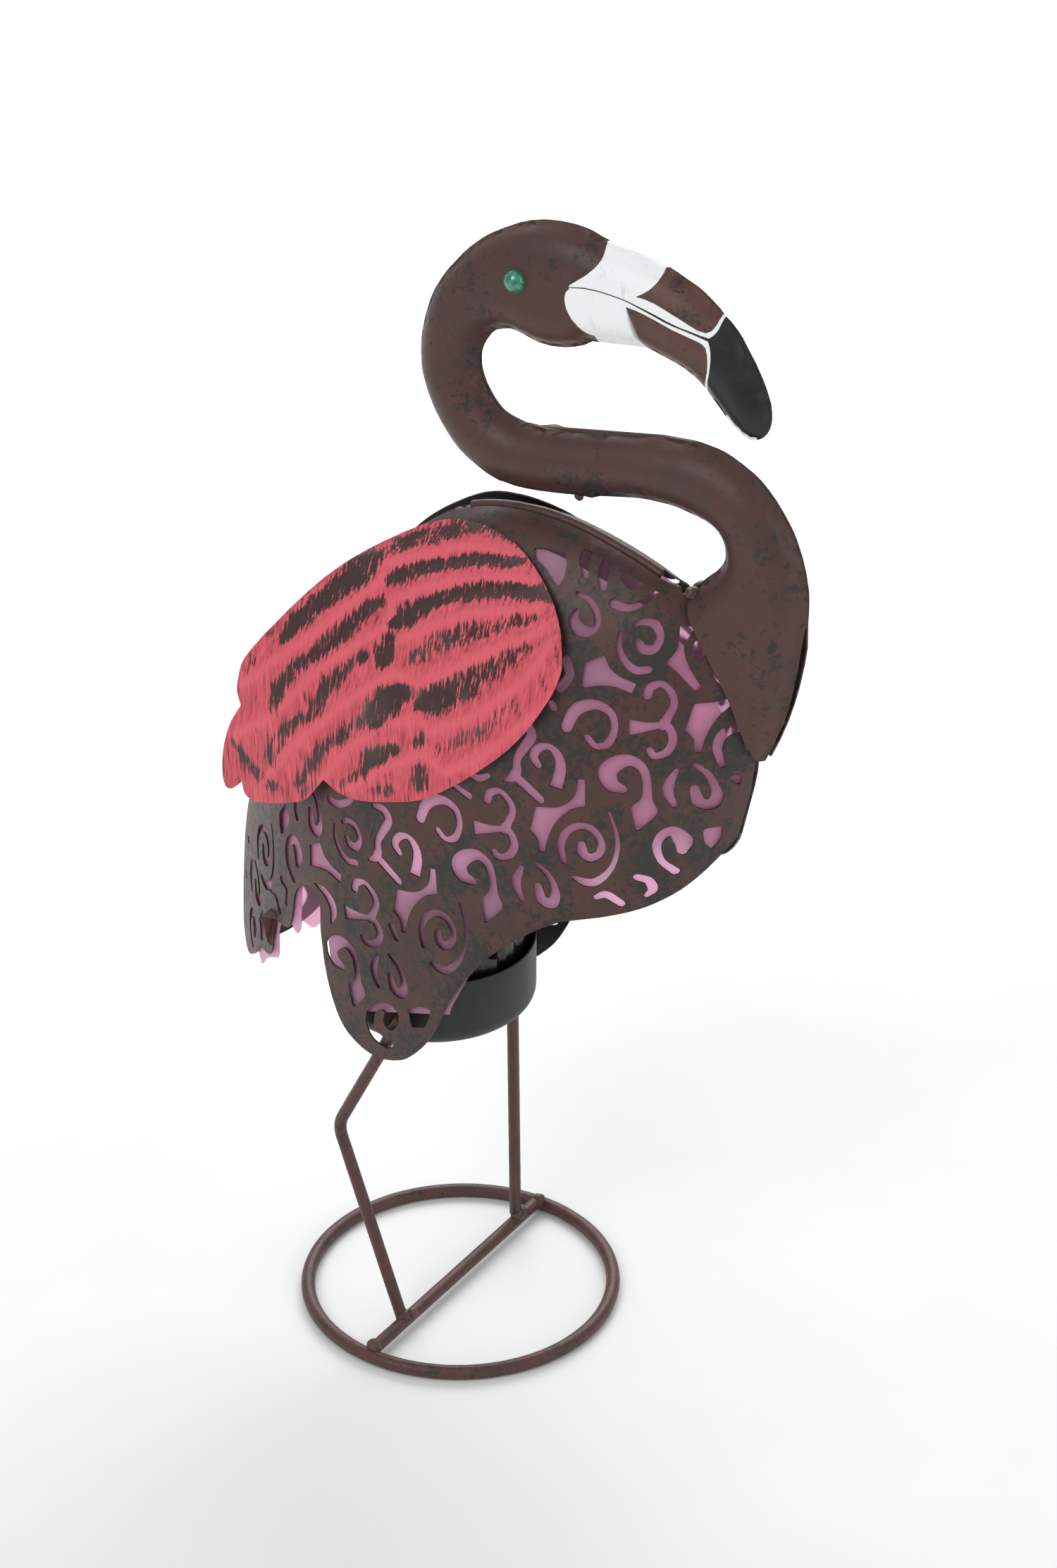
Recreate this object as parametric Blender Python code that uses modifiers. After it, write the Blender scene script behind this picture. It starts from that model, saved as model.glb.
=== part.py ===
"""Garden flamingo of cut and pressed sheet steel, standing on a ring of round rod.

The bird faces +X, its right side is -Y and its mid-plane is Y = 0. The free
forms are drawn side-on, as (x, z) points in drawing units, one unit being one
millimetre on a statue 661 mm tall. Pieces that touch keep a small gap.
"""
import math

import bmesh
import bpy
import numpy as np
from mathutils import Vector
from mathutils.geometry import delaunay_2d_cdt

STATUE_HEIGHT = 0.661
# the bird is drawn 661 units tall
UNIT = STATUE_HEIGHT / 661.0

CONTACT_GAP = 0.0003
SHEET = 0.0010

RING_DIAMETER = 0.183
RING_ROD = 0.0084
BAR_ROD = 0.0078
LEG_ROD = 0.0072
SPINE_ROD = 0.006
CUP_DIAMETER = 0.1164
CUP_HEIGHT = 0.0419
CUP_WALL = 0.0012
CUP_CORNER = 0.011
LINER_SHEET = 0.0006
LINER_GAP = 0.0020
LOBE_TUCK = 0.0044
NECK_DEPTH = 0.0125
EYE_DIAMETER = 0.012
FEATHER_RELIEF = 0.0016
RING_OFFSET = 0.0045

BAR_LIFT = 0.0034
LEG_SET_BACK = 0.0018
SPINE_SEAM = SPINE_ROD / 2 + CONTACT_GAP + SHEET / 2
CUP_X = -18.2 * UNIT
CUP_FLOOR = 191.9 * UNIT
FOOT_X = -1.2 * UNIT
KNEE = (-45.3 * UNIT, 128.8 * UNIT)
HIP_TOP = (0.3 * UNIT, 214.0 * UNIT)
STRAIGHT_LEG_TOP = -5.2 * UNIT
KNEE_BEND = 4.0 * UNIT

RING_SIDES = 28
ROD_SIDES = 8
CUP_SIDES = 20
FLAT_TOLERANCE = 1.35 * UNIT
OUTLINE_TOLERANCE = 0.9 * UNIT
PATTERN_MARGIN = 3.5 * UNIT
PANEL_GRID = 28.0 * UNIT
NECK_GRID = 20.0 * UNIT
NECK_SHOULDER = 16.4 * UNIT
NECK_FLANGE = 1.6 * UNIT

DOME_CENTRE = (0.0, 290.0)
# bearing in degrees, radius and half gap at the seam in drawing units, roundness
DOME = (
    (-60.0, 300.0, 3.0, 0.60),
    (-30.0, 232.0, 2.0, 0.65),
    (-5.0, 186.0, 1.5, 0.72),
    (19.4, 186.6, 1.5, 0.75),
    (31.0, 215.0, 1.5, 0.75),
    (45.0, 236.0, 2.0, 0.72),
    (55.0, 235.5, 4.0, 0.65),
    (63.3, 230.3, SPINE_SEAM / UNIT, 0.60),
    (75.7, 223.0, SPINE_SEAM / UNIT, 0.60),
    (90.0, 206.4, SPINE_SEAM / UNIT, 0.60),
    (103.0, 178.0, 5.0, 0.62),
    (115.0, 160.0, 5.0, 0.65),
    (135.5, 142.0, 4.0, 0.70),
    (159.0, 135.0, 4.0, 0.80),
    (182.0, 145.0, 4.0, 0.95),
    (200.0, 161.0, 4.0, 1.00),
    (209.0, 174.5, 4.0, 1.00),
    (216.0, 188.0, 4.0, 0.95),
    (235.0, 240.0, 4.0, 0.80),
    (260.0, 310.0, 4.0, 0.60),
)
BACK_SEAM = (57.0, 205.0)
CHEST_SEAM = (20.0, 30.0)
LINER_BACK = (56.0, 204.0)
LINER_FRONT = (30.0, 52.0)
LINER_SHARE = 0.95
# how many straight parts each of those stretches is drawn with
BACK_PARTS = 49
CHEST_PARTS = 3
LINER_BACK_PARTS = 37
LINER_FRONT_PARTS = 5
SPINE_START = 57.5
SPINE_SWEEP = 29.5
SPINE_PARTS = 4

# the body panel's cut edge, from the chest seam round the belly, lobe and tail
PANEL_EDGES = (
    ((175.9, 352.0), (170.7, 343.6), (163.6, 333.6), (155.0, 324.3), (145.0, 317.1),
     (135.0, 312.1), (122.1, 307.9), (110.7, 305.0), (99.5, 302.3)),
    ((99.5, 302.3), (88.0, 296.0), (74.0, 285.5), (60.0, 272.6), (50.0, 259.3),
     (41.4, 246.4), (34.3, 233.0), (28.6, 220.5), (20.7, 207.1), (9.3, 195.0), (0.7, 190.0),
     (-9.3, 187.6), (-17.9, 188.4), (-25.0, 190.9), (-33.6, 196.6), (-39.3, 204.3),
     (-43.6, 215.0), (-46.4, 225.0), (-48.6, 236.4), (-50.0, 246.4), (-51.3, 257.0),
     (-51.2, 268.6), (-52.0, 275.5), (-55.5, 279.0), (-61.5, 279.4), (-68.6, 276.0),
     (-73.6, 270.7), (-76.4, 264.0), (-78.0, 255.0), (-80.4, 247.0), (-84.2, 241.6),
     (-89.3, 239.8), (-95.0, 239.2), (-99.6, 238.2)),
    ((-99.6, 238.2), (-101.4, 227.5), (-103.2, 217.9), (-106.4, 211.9), (-110.6, 209.6),
     (-115.6, 209.0), (-120.4, 208.9)),
    ((-120.4, 208.9), (-126.4, 201.2), (-132.1, 195.7), (-138.6, 190.7), (-144.6, 188.0),
     (-149.0, 189.8), (-151.9, 195.0), (-152.9, 202.5), (-152.6, 212.0)),
)
# where the panel's edge passes under the neck's hem
NECK_OVERLAP = ((139.0, 483.4), (149.0, 474.5), (157.5, 463.5), (167.0, 449.0),
                (174.5, 436.0), (180.6, 421.0), (184.0, 407.0), (184.2, 397.0))

LINER_EDGE = (
    ((180.0, 392.0), (176.0, 366.0), (165.0, 340.0), (150.0, 323.5), (128.0, 312.5),
     (104.0, 305.8), (89.0, 298.5), (67.0, 281.0), (52.5, 264.5), (45.0, 250.0), (38.5, 237.0),
     (36.8, 231.4)),
    ((36.8, 231.4), (-18.1, 215.2), (-34.0, 211.8)),
    ((-34.0, 211.8), (-44.0, 225.6), (-46.2, 238.0), (-48.0, 256.0), (-48.6, 273.0), (-53.0, 281.0),
     (-62.0, 281.6), (-70.0, 274.0), (-71.6, 262.0), (-72.8, 246.4), (-77.0, 241.4),
     (-83.0, 244.0), (-92.0, 243.0), (-98.0, 230.7), (-99.6, 214.0), (-109.3, 207.2),
     (-117.9, 200.9), (-124.6, 193.4), (-131.0, 199.0), (-141.0, 199.0), (-147.0, 212.0)),
)

NECK_BACK = (
    (146.6, 485.4), (157.0, 495.0), (162.4, 502.0), (163.2, 508.0), (161.6, 514.0), (157.0, 519.6),
    (148.0, 523.6), (134.0, 526.4), (122.0, 527.0), (110.0, 526.4), (96.0, 524.0), (80.0, 521.4),
    (66.0, 519.6), (50.0, 518.0), (36.0, 518.0), (24.0, 520.0), (12.0, 525.6), (3.0, 532.0),
    (-4.0, 540.0), (-11.0, 550.0), (-16.0, 561.0), (-19.2, 572.0), (-19.6, 584.0),
    (-17.0, 598.0), (-12.0, 612.0), (-5.0, 623.0), (1.0, 629.6), (10.0, 639.0), (22.0, 648.0),
    (36.0, 655.0), (50.0, 659.6), (66.0, 661.0), (80.0, 659.6), (91.0, 656.0), (108.0, 652.6),
    (125.0, 648.0), (134.0, 644.4), (145.0, 639.0), (156.0, 630.6), (166.0, 621.0),
    (175.0, 608.0), (182.0, 595.0), (184.6, 586.0), (184.4, 578.0), (181.0, 572.0),
    (176.0, 569.8), (170.0, 571.6), (162.0, 578.0), (150.0, 590.6), (141.0, 597.4),
    (130.0, 602.0), (115.0, 606.2))
NECK_CHIN = ((115.0, 606.2), (100.0, 605.2), (84.0, 604.0))
NECK_FRONT = (
    (84.0, 604.0), (78.0, 600.8), (70.0, 598.4), (60.0, 597.2), (50.0, 598.4), (43.0, 600.6),
    (35.0, 602.0), (26.0, 599.6), (20.4, 594.4), (17.0, 588.0), (16.2, 582.0), (17.0, 575.0),
    (20.0, 568.0), (25.0, 561.0), (31.0, 556.4), (40.0, 553.4), (50.0, 552.6), (70.0, 555.0),
    (90.0, 557.4), (112.0, 560.0), (128.0, 561.8), (140.0, 562.4), (150.0, 561.4),
    (160.0, 559.4), (170.0, 555.0), (180.0, 549.0), (190.0, 539.0), (198.0, 528.0),
    (203.0, 518.0), (207.0, 506.0), (209.2, 494.0), (209.4, 480.0), (208.0, 460.0),
    (205.0, 442.0), (201.0, 426.0), (196.0, 412.0), (191.0, 400.4))
NECK_HEM = ((187.2, 400.0), (185.0, 407.0), (181.0, 418.6), (173.6, 434.3), (163.6, 450.0),
            (153.6, 465.7), (147.4, 477.0), (146.6, 485.4))
BEAK_ROOT = 91.0
BEAK_TIP = 184.0
BEAK_TIP_SHARE = 0.62
EYE_PLACE = (46.3, 631.5)
# the body slants below the neck, so the gap across it is wider than along the normal
NECK_SLANT = 1.3

WING_EDGES = (
    ((-104.5, 378.5), (-107.5, 386.0), (-107.0, 394.0), (-102.6, 406.8), (-81.8, 432.2),
     (-54.8, 460.8), (-28.2, 481.2), (3.0, 498.4), (25.8, 502.4), (46.7, 499.5), (63.7, 492.0),
     (80.6, 478.3), (90.4, 464.5), (94.8, 452.0), (96.1, 443.0), (91.8, 428.7), (77.2, 404.9),
     (53.6, 381.9), (24.0, 360.6), (-1.7, 351.4), (-20.8, 347.1), (-34.0, 348.0),
     (-44.2, 352.5)),
    ((-44.2, 352.5), (-50.0, 345.0), (-58.5, 335.6), (-71.0, 330.0), (-84.0, 325.6),
     (-96.8, 322.6), (-104.0, 325.0), (-106.0, 332.0)),
    ((-106.0, 332.0), (-110.0, 328.0), (-115.7, 323.9), (-120.0, 325.4), (-121.4, 335.0),
     (-119.0, 350.0), (-113.1, 365.2), (-104.5, 378.5)),
)
# the wing is highest here, falls towards its top edge and bows towards both ends
WING_CREST = (20.0, 360.0)
WING_FALL = 0.0022
WING_BOW = 0.0006
UPPER_QUILLS = (
    ((55.0, 493.3), (35.0, 489.5), (16.7, 483.8), (-3.0, 479.0), (-22.0, 474.5)),
    ((67.0, 482.5), (45.0, 478.0), (25.0, 472.5), (5.0, 466.7), (-11.7, 458.0)),
    ((79.0, 471.0), (60.0, 467.5), (41.7, 461.7), (18.0, 452.5), (-4.0, 441.7)),
    ((84.0, 461.7), (68.0, 457.0), (50.0, 450.0), (28.0, 440.0), (7.0, 424.0)),
    ((86.5, 452.0), (78.0, 443.5), (64.0, 433.5), (43.0, 417.8), (19.0, 402.0)),
    ((90.0, 442.0), (82.0, 431.0), (70.0, 418.0), (50.0, 401.0), (29.0, 383.5)),
)
LOWER_QUILLS = (
    ((-24.0, 468.0), (-48.0, 451.0), (-73.0, 427.5), (-93.0, 406.0), (-104.0, 390.5)),
    ((-12.0, 454.5), (-41.7, 439.0), (-68.0, 417.0), (-88.0, 396.7), (-102.0, 380.5)),
    ((-4.0, 438.0), (-33.3, 421.7), (-60.0, 402.0), (-84.0, 378.0), (-104.0, 358.0)),
    ((7.0, 420.0), (-25.0, 401.7), (-50.0, 383.0), (-74.0, 362.0), (-97.0, 341.0)),
    ((18.0, 399.0), (-8.3, 381.7), (-33.3, 363.3), (-56.0, 347.5), (-76.0, 337.0)),
    ((28.0, 380.0), (12.0, 371.5), (-2.0, 364.0), (-16.0, 357.5), (-30.0, 353.0)),
)

# scroll cut-outs, each a few brush strokes (x, z, width) about its own centre
THREE = (
    ((-6.9, 12.6, 4.2), (-5.7, 17.1, 4.2), (-0.7, 18.9, 3.4), (4.3, 14.3, 3.6), (6.1, 8.6, 3.6),
     (4.0, 2.1, 4.2), (2.6, -2.4, 4.6)),
    ((2.6, 0.0, 4.2), (6.4, -5.0, 4.0), (7.6, -10.7, 4.0), (5.0, -16.4, 4.2), (0.0, -18.3, 3.8),
     (-2.4, -15.4, 3.4)),
    ((3.6, -1.2, 3.0), (-4.3, -3.1, 4.6), (-13.4, -4.3, 8.6)),
)
HOOK = (
    ((-1.2, -4.6, 5.0), (-6.4, -2.4, 8.0), (-8.9, 3.6, 9.2), (-5.0, 9.0, 8.4), (1.4, 11.4, 6.3),
     (7.4, 7.9, 5.0), (10.0, 0.7, 4.2), (10.4, -9.0, 5.0), (9.3, -16.4, 12.0), (6.3, -27.1, 2.2)),
)
CRESCENT_JAY = (
    ((-6.9, 10.0, 2.4), (-9.7, 2.9, 4.6), (-10.0, -2.9, 4.6), (-7.4, -10.0, 2.6)),
    ((1.1, 12.9, 2.6), (6.4, 7.9, 3.2), (9.6, 0.0, 3.6), (10.0, -5.7, 5.0), (7.6, -10.0, 6.4),
     (2.9, -7.9, 5.6), (1.1, 0.0, 3.8)),
)
SPIRAL = (
    ((-0.7, 0.4, 3.8), (-0.4, -4.6, 5.2), (2.9, -7.6, 5.4), (7.6, -4.3, 4.0), (8.6, 2.9, 3.4),
     (4.3, 9.6, 4.2), (-2.1, 10.9, 4.2), (-8.6, 6.4, 4.0), (-11.1, -1.4, 3.6),
     (-10.0, -11.1, 3.0)),
    ((12.4, 20.0, 1.6), (15.7, 8.6, 2.0), (16.0, -1.4, 2.2), (12.9, -12.9, 2.8),
     (6.4, -21.4, 4.6), (0.7, -22.9, 5.0), (-5.0, -20.7, 3.0)),
)
COMMA = (
    ((4.3, -7.1, 4.6), (5.0, -0.7, 8.4), (1.4, 5.7, 6.5), (-4.3, 2.9, 5.0), (-6.9, -4.3, 4.0),
     (-5.0, -12.9, 3.8), (1.0, -19.0, 4.4)),
)
RING_SCROLL = (
    ((-12.9, -2.6, 6.0), (-10.7, 4.3, 6.5), (-6.4, 9.0, 6.5), (1.4, 10.7, 5.0), (8.6, 7.1, 4.0),
     (11.1, -0.7, 3.8), (8.6, -8.6, 4.0), (2.9, -10.7, 3.4), (-1.7, -6.7, 3.6)),
)
GEE = (
    ((-5.0, -0.7, 3.8), (-7.9, 3.6, 5.0), (-5.7, 8.4, 4.6), (0.0, 10.0, 3.6), (5.0, 5.7, 5.0),
     (6.7, -1.5, 6.0), (5.0, -11.4, 6.6)),
)
TALL_WYE = (
    ((-5.6, 20.6, 3.0), (1.4, 20.3, 5.0), (5.0, 15.0, 5.5), (1.4, 7.9, 5.5), (-1.7, 1.4, 4.6),
     (-1.4, -5.0, 5.4), (-2.6, -9.0, 7.0)),
    ((-0.4, -3.6, 3.4), (-3.4, -9.0, 5.0), (-7.6, -11.6, 1.6)),
    ((-3.0, -7.4, 5.0), (4.3, -12.4, 5.0), (12.4, -18.6, 4.4)),
)
CEE = (
    ((-4.3, -2.1, 3.2), (-1.4, -5.4, 4.6), (3.6, -5.0, 4.6), (5.4, 0.7, 3.6), (1.4, 6.4, 3.8),
     (-4.3, 7.4, 3.4), (-7.4, 5.9, 2.6)),
    ((-13.9, 1.4, 2.0), (-12.9, -5.7, 3.0), (-8.6, -12.1, 3.6), (-2.9, -15.7, 4.0),
     (3.1, -15.0, 3.8)),
)
CURL = (
    ((-7.0, 9.6, 2.0), (-1.5, 8.2, 2.6), (3.2, 4.6, 3.2), (6.4, 0.0, 3.4), (6.6, -4.4, 3.8),
     (3.2, -7.0, 4.8), (-1.8, -6.2, 6.0), (-5.4, -2.6, 5.4), (-5.0, 1.6, 3.0)),
)
JAY = (CRESCENT_JAY[1],)
LEAF = (((-7.8, 6.9, 1.5), (0.0, 6.1, 5.0), (6.5, 1.1, 6.5), (7.9, -5.3, 5.0), (5.8, -11.7, 1.5)),)
FLARED_HOOK = (((5.0, 6.4, 5.0), (-1.4, 3.6, 5.0), (-3.2, -3.6, 4.0), (-0.8, -13.6, 2.4)),)
BAND = (((-7.4, 0.8, 4.4), (0.0, 0.4, 5.6), (7.4, -1.4, 6.2)),)
ARC = (((-9.6, 0.0, 4.0), (-1.0, -1.6, 3.6), (6.2, 2.0, 3.0), (9.8, 6.4, 2.2)),)
# cut-outs drawn by their corners and curved sides
SPLAY = (
    ((9.7, 21.6), (8.3, 11.4), (1.0, 4.8), (-11.4, 2.9)),
    ((-11.4, 2.9), (-14.0, -11.1)),
    ((-14.0, -11.1), (-10.0, -15.4), (-8.9, -22.6)),
    ((-8.9, -22.6), (-6.0, -22.6)),
    ((-6.0, -22.6), (-4.6, -14.0), (-1.0, -5.0), (5.7, 3.1), (14.1, 6.7)),
    ((14.1, 6.7), (13.1, 21.4)),
    ((13.1, 21.4), (9.7, 21.6)),
)
AXE = (
    ((-10.7, 1.4), (-1.4, 6.7)),
    ((-1.4, 6.7), (2.4, 0.6), (8.6, -3.4), (16.4, -6.0)),
    ((16.4, -6.0), (15.0, -11.2)),
    ((15.0, -11.2), (6.0, -8.6), (-2.0, -9.0), (-10.3, -11.0)),
    ((-10.3, -11.0), (-10.7, 1.4)),
)
DIAMOND = (
    ((1.0, 11.0), (4.6, 5.0)),
    ((4.6, 5.0), (4.0, -3.0), (0.0, -11.0)),
    ((0.0, -11.0), (-2.6, -10.0)),
    ((-2.6, -10.0), (-3.4, -3.0), (-5.0, 0.6)),
    ((-5.0, 0.6), (1.0, 11.0)),
)
BLOCK = (
    ((-6.6, 4.6), (7.0, 5.4)),
    ((7.0, 5.4), (5.0, -2.4)),
    ((5.0, -2.4), (-5.4, -5.4)),
    ((-5.4, -5.4), (-6.6, 4.6)),
)
HIP_HOLE = (
    ((-6.2, 14.4), (-6.6, 8.3), (-1.7, -1.7), (7.2, -4.8)),
    ((7.2, -4.8), (11.0, -2.6), (12.4, 2.1)),
    ((12.4, 2.1), (1.8, 4.3), (-1.7, 6.0)),
    ((-1.7, 6.0), (0.2, 15.6)),
    ((0.2, 15.6), (-6.2, 14.4)),
)
HALF_DISC = (
    ((-6.3, 4.6), (6.6, 1.1)),
    ((6.6, 1.1), (4.8, -3.0), (1.0, -4.2), (-4.0, -1.6), (-7.1, 2.7), (-6.3, 4.6)),
)
FORK = (
    ((0.9, 13.4), (-0.8, 5.5), (3.2, -4.0), (10.2, -13.4)),
    ((10.2, -13.4), (7.8, -15.6)),
    ((7.8, -15.6), (-1.2, -7.0), (-6.9, -2.7)),
    ((-6.9, -2.7), (-6.7, -1.2)),
    ((-6.7, -1.2), (-3.6, 5.3), (-5.2, 15.0)),
    ((-5.2, 15.0), (0.3, 14.9)),
    ((0.3, 14.9), (0.9, 13.4)),
)
# motif, centre x, centre z, stretch along x
SCROLLS = (
    (THREE, 143.5, 421.5, 1.0), (THREE, 67.4, 354.5, 1.11), (THREE, -14.9, 280.2, 1.19),
    (HOOK, 130.7, 388.6, 1.0), (HOOK, 53.5, 323.3, 1.0), (HOOK, -33.5, 244.5, 1.0),
    (CRESCENT_JAY, 160.7, 385.7, 1.0), (CRESCENT_JAY, 86.7, 322.3, 1.0),
    (CRESCENT_JAY, -1.0, 246.3, 1.0), (CRESCENT_JAY, -127.9, 246.4, 0.72),
    (SPIRAL, 111.4, 350.0, 1.0), (SPIRAL, 32.5, 283.0, 1.0), (SPIRAL, -113.0, 276.5, 0.85),
    (COMMA, 151.4, 354.3, 0.95), (COMMA, -76.4, 295.0, 1.0), (COMMA, -133.6, 216.4, 0.7),
    (RING_SCROLL, 112.1, 416.4, 1.0), (RING_SCROLL, 33.4, 350.5, 1.0),
    (GEE, 91.4, 392.1, 1.0), (GEE, 12.7, 325.0, 1.0),
    (TALL_WYE, 76.4, 391.4, 1.0), (TALL_WYE, -5.0, 325.7, 1.0), (FORK, 150.0, 453.0, 1.0),
    (CEE, 132.1, 462.1, 1.0), (CEE, -25.0, 324.0, 1.0), (JAY, -61.5, 325.5, 1.0),
    (LEAF, -47.9, 276.0, 1.0),
    (SPLAY, 97.9, 365.7, 1.0), (SPLAY, 170.0, 428.3, 1.0), (SPLAY, 17.5, 299.0, 1.0),
    (AXE, 114.3, 445.7, 1.0), (AXE, -49.3, 303.6, 1.0),
    (DIAMOND, -86.9, 307.0, 1.0), (DIAMOND, -118.0, 223.6, 0.9), (DIAMOND, 167.5, 355.0, 0.8),
    (DIAMOND, 156.0, 457.0, 0.7),
    (BLOCK, 17.6, 224.5, 1.0), (HIP_HOLE, -12.6, 200.6, 1.0), (HALF_DISC, 116.0, 487.0, 1.0),
    (BAND, 122.6, 317.4, 1.0), (BAND, 73.6, 493.8, 1.0), (ARC, 120.4, 475.4, 1.0),
    (FLARED_HOOK, 173.4, 406.8, 1.0), (CURL, 99.0, 469.0, 1.0),
)

COLOURS = {
    "rust_brown": ((0.105, 0.052, 0.042), 0.55, 0.35),
    "wing_pink": ((0.62, 0.12, 0.17), 0.6, 0.1),
    "pink_film": ((0.78, 0.45, 0.56), 0.35, 0.0),
    "black_film": ((0.012, 0.012, 0.012), 0.25, 0.0),
    "cup_grey": ((0.045, 0.047, 0.048), 0.5, 0.2),
    "eye_green": ((0.01, 0.25, 0.11), 0.08, 0.0),
}


def clear_scene():
    """Take away whatever the scene holds."""
    for thing in list(bpy.data.objects):
        bpy.data.objects.remove(thing, do_unlink=True)


def paint(name):
    """The material of one finish, made once."""
    material = bpy.data.materials.get(name)
    if material is None:
        colour, roughness, metallic = COLOURS[name]
        material = bpy.data.materials.new(name)
        material.use_nodes = True
        shader = material.node_tree.nodes["Principled BSDF"]
        shader.inputs["Base Color"].default_value = (*colour, 1.0)
        shader.inputs["Roughness"].default_value = roughness
        shader.inputs["Metallic"].default_value = metallic
        material.diffuse_color = (*colour, 1.0)
    return material


def put_in(collection, obj, finish):
    """Move an object into the statue's collection and give it its finish."""
    for old in list(obj.users_collection):
        old.objects.unlink(obj)
    collection.objects.link(obj)
    obj.data.materials.clear()
    obj.data.materials.append(paint(finish))
    return obj


def curve_through(points, steps=8):
    """A smooth Catmull-Rom curve through points of any dimension."""
    points = np.asarray(points, float)
    if len(points) == 2:
        return points
    padded = np.vstack([2 * points[0] - points[1], points, 2 * points[-1] - points[-2]])
    out = []
    for i in range(len(padded) - 3):
        a, b, c, d = padded[i:i + 4]
        for t in np.arange(steps) / steps:
            out.append(0.5 * (2 * b + (c - a) * t + (2 * a - 5 * b + 4 * c - d) * t ** 2
                              + (3 * b - a - 3 * c + d) * t ** 3))
    out.append(points[-1])
    return np.array(out)


def thin_out(points, tolerance):
    """Drop the points that a straight line stands for within the tolerance."""
    keep = [0, len(points) - 1]
    stack = [(0, len(points) - 1)]
    while stack:
        first, last = stack.pop()
        if last - first < 2:
            continue
        run = points[first + 1:last]
        chord = points[last] - points[first]
        length = np.hypot(*chord)
        away = run - points[first]
        if length < 1e-9:
            off = np.hypot(away[:, 0], away[:, 1])
        else:
            off = np.abs(away[:, 0] * chord[1] - away[:, 1] * chord[0]) / length
        worst = int(off.argmax())
        if off[worst] > tolerance:
            middle = first + 1 + worst
            keep.append(middle)
            stack += [(first, middle), (middle, last)]
    return points[sorted(keep)]


def edge_from_runs(runs, tolerance):
    """A closed outline in metres from smooth runs that meet at corners."""
    out = []
    for run in runs:
        smooth = thin_out(curve_through(np.asarray(run) * UNIT), tolerance)
        out.extend(smooth[:-1])
    return np.array(out)


def brush_stroke(points, tolerance):
    """The outline of a stroke whose centre line and width are given, with round ends."""
    path = curve_through(np.asarray(points) * UNIT, steps=7)
    along = np.gradient(path[:, :2], axis=0)
    along /= np.hypot(along[:, 0], along[:, 1])[:, None]
    across = np.column_stack([-along[:, 1], along[:, 0]])
    half = path[:, 2:3] / 2
    left = path[:, :2] + across * half
    right = path[:, :2] - across * half
    bulge = 0.8 if half[-1, 0] < 2.6 * UNIT else 0.0
    tip = path[-1, :2] + along[-1] * half[-1] * bulge
    tail = path[0, :2] - along[0] * half[0] * 0.8
    left = thin_out(left, tolerance)
    right = thin_out(right, tolerance)
    ends = [tip[None]] if bulge else []
    return np.vstack([left, *ends, right[::-1], tail[None]])


def cut_outs():
    """Every scroll's outline in the side view, in metres."""
    shapes = []
    for motif, x, z, stretch in SCROLLS:
        drawn_by_strokes = len(motif[0][0]) == 3
        if drawn_by_strokes:
            outlines = [brush_stroke(stroke, FLAT_TOLERANCE) for stroke in motif]
        else:
            outlines = [edge_from_runs(motif, FLAT_TOLERANCE)]
        for outline in outlines:
            shapes.append(outline * (stretch, 1.0) + np.array((x, z)) * UNIT)
    return shapes


def winds_round(points, outline):
    """Whether each point lies inside a closed outline that may cross itself."""
    inside = np.zeros(len(points), bool)
    low, high = outline.min(0), outline.max(0)
    near = np.flatnonzero(((points > low) & (points < high)).all(1))
    if len(near) == 0:
        return inside
    x, z = points[near, 0][:, None], points[near, 1][:, None]
    x0, z0 = outline[:, 0], outline[:, 1]
    x1, z1 = np.roll(x0, -1), np.roll(z0, -1)
    side = (x1 - x0) * (z - z0) - (x - x0) * (z1 - z0)
    up = (z0 <= z) & (z1 > z) & (side > 0)
    down = (z0 > z) & (z1 <= z) & (side < 0)
    inside[near] = (up.sum(1) - down.sum(1)) != 0
    return inside


def distance_to(points, line):
    """Distance from each point to a polyline."""
    start, end = line[:-1], line[1:]
    span = end - start
    away = points[:, None, :] - start
    length = np.maximum((span ** 2).sum(1), 1e-18)
    share = np.clip((away * span).sum(2) / length, 0.0, 1.0)
    off = away - share[:, :, None] * span
    return np.hypot(off[:, :, 0], off[:, :, 1]).min(1)


def closed_line(outline):
    """An outline with its first point again at the end."""
    return np.vstack([outline, outline[:1]])


def inset(outline, margin):
    """The outline moved inwards, without the stretches that run too near the edge."""
    line = closed_line(outline)
    ahead = np.diff(line, axis=0)
    ahead /= np.hypot(ahead[:, 0], ahead[:, 1])[:, None]
    normal = np.column_stack([ahead[:, 1], -ahead[:, 0]])
    area = np.sum(line[:-1, 0] * line[1:, 1] - line[1:, 0] * line[:-1, 1])
    if area > 0:
        normal = -normal
    both = normal + np.roll(normal, 1, axis=0)
    both /= np.maximum(np.hypot(both[:, 0], both[:, 1]), 0.3)[:, None]
    moved = outline + both * margin
    clear = (distance_to(moved, line) > 0.93 * margin) & winds_round(moved, outline)
    return moved[clear]


def grid_inside(outline, spacing, margin):
    """Points on a staggered grid inside an outline, clear of its edge."""
    low, high = outline.min(0), outline.max(0)
    rows = []
    for row, z in enumerate(np.arange(low[1], high[1], spacing * 0.87)):
        x = np.arange(low[0] + (row % 2) * spacing / 2, high[0], spacing)
        rows.append(np.column_stack([x, np.full(len(x), z)]))
    points = np.vstack(rows)
    points = points[winds_round(points, outline)]
    return points[distance_to(points, closed_line(outline)) > margin]


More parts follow.
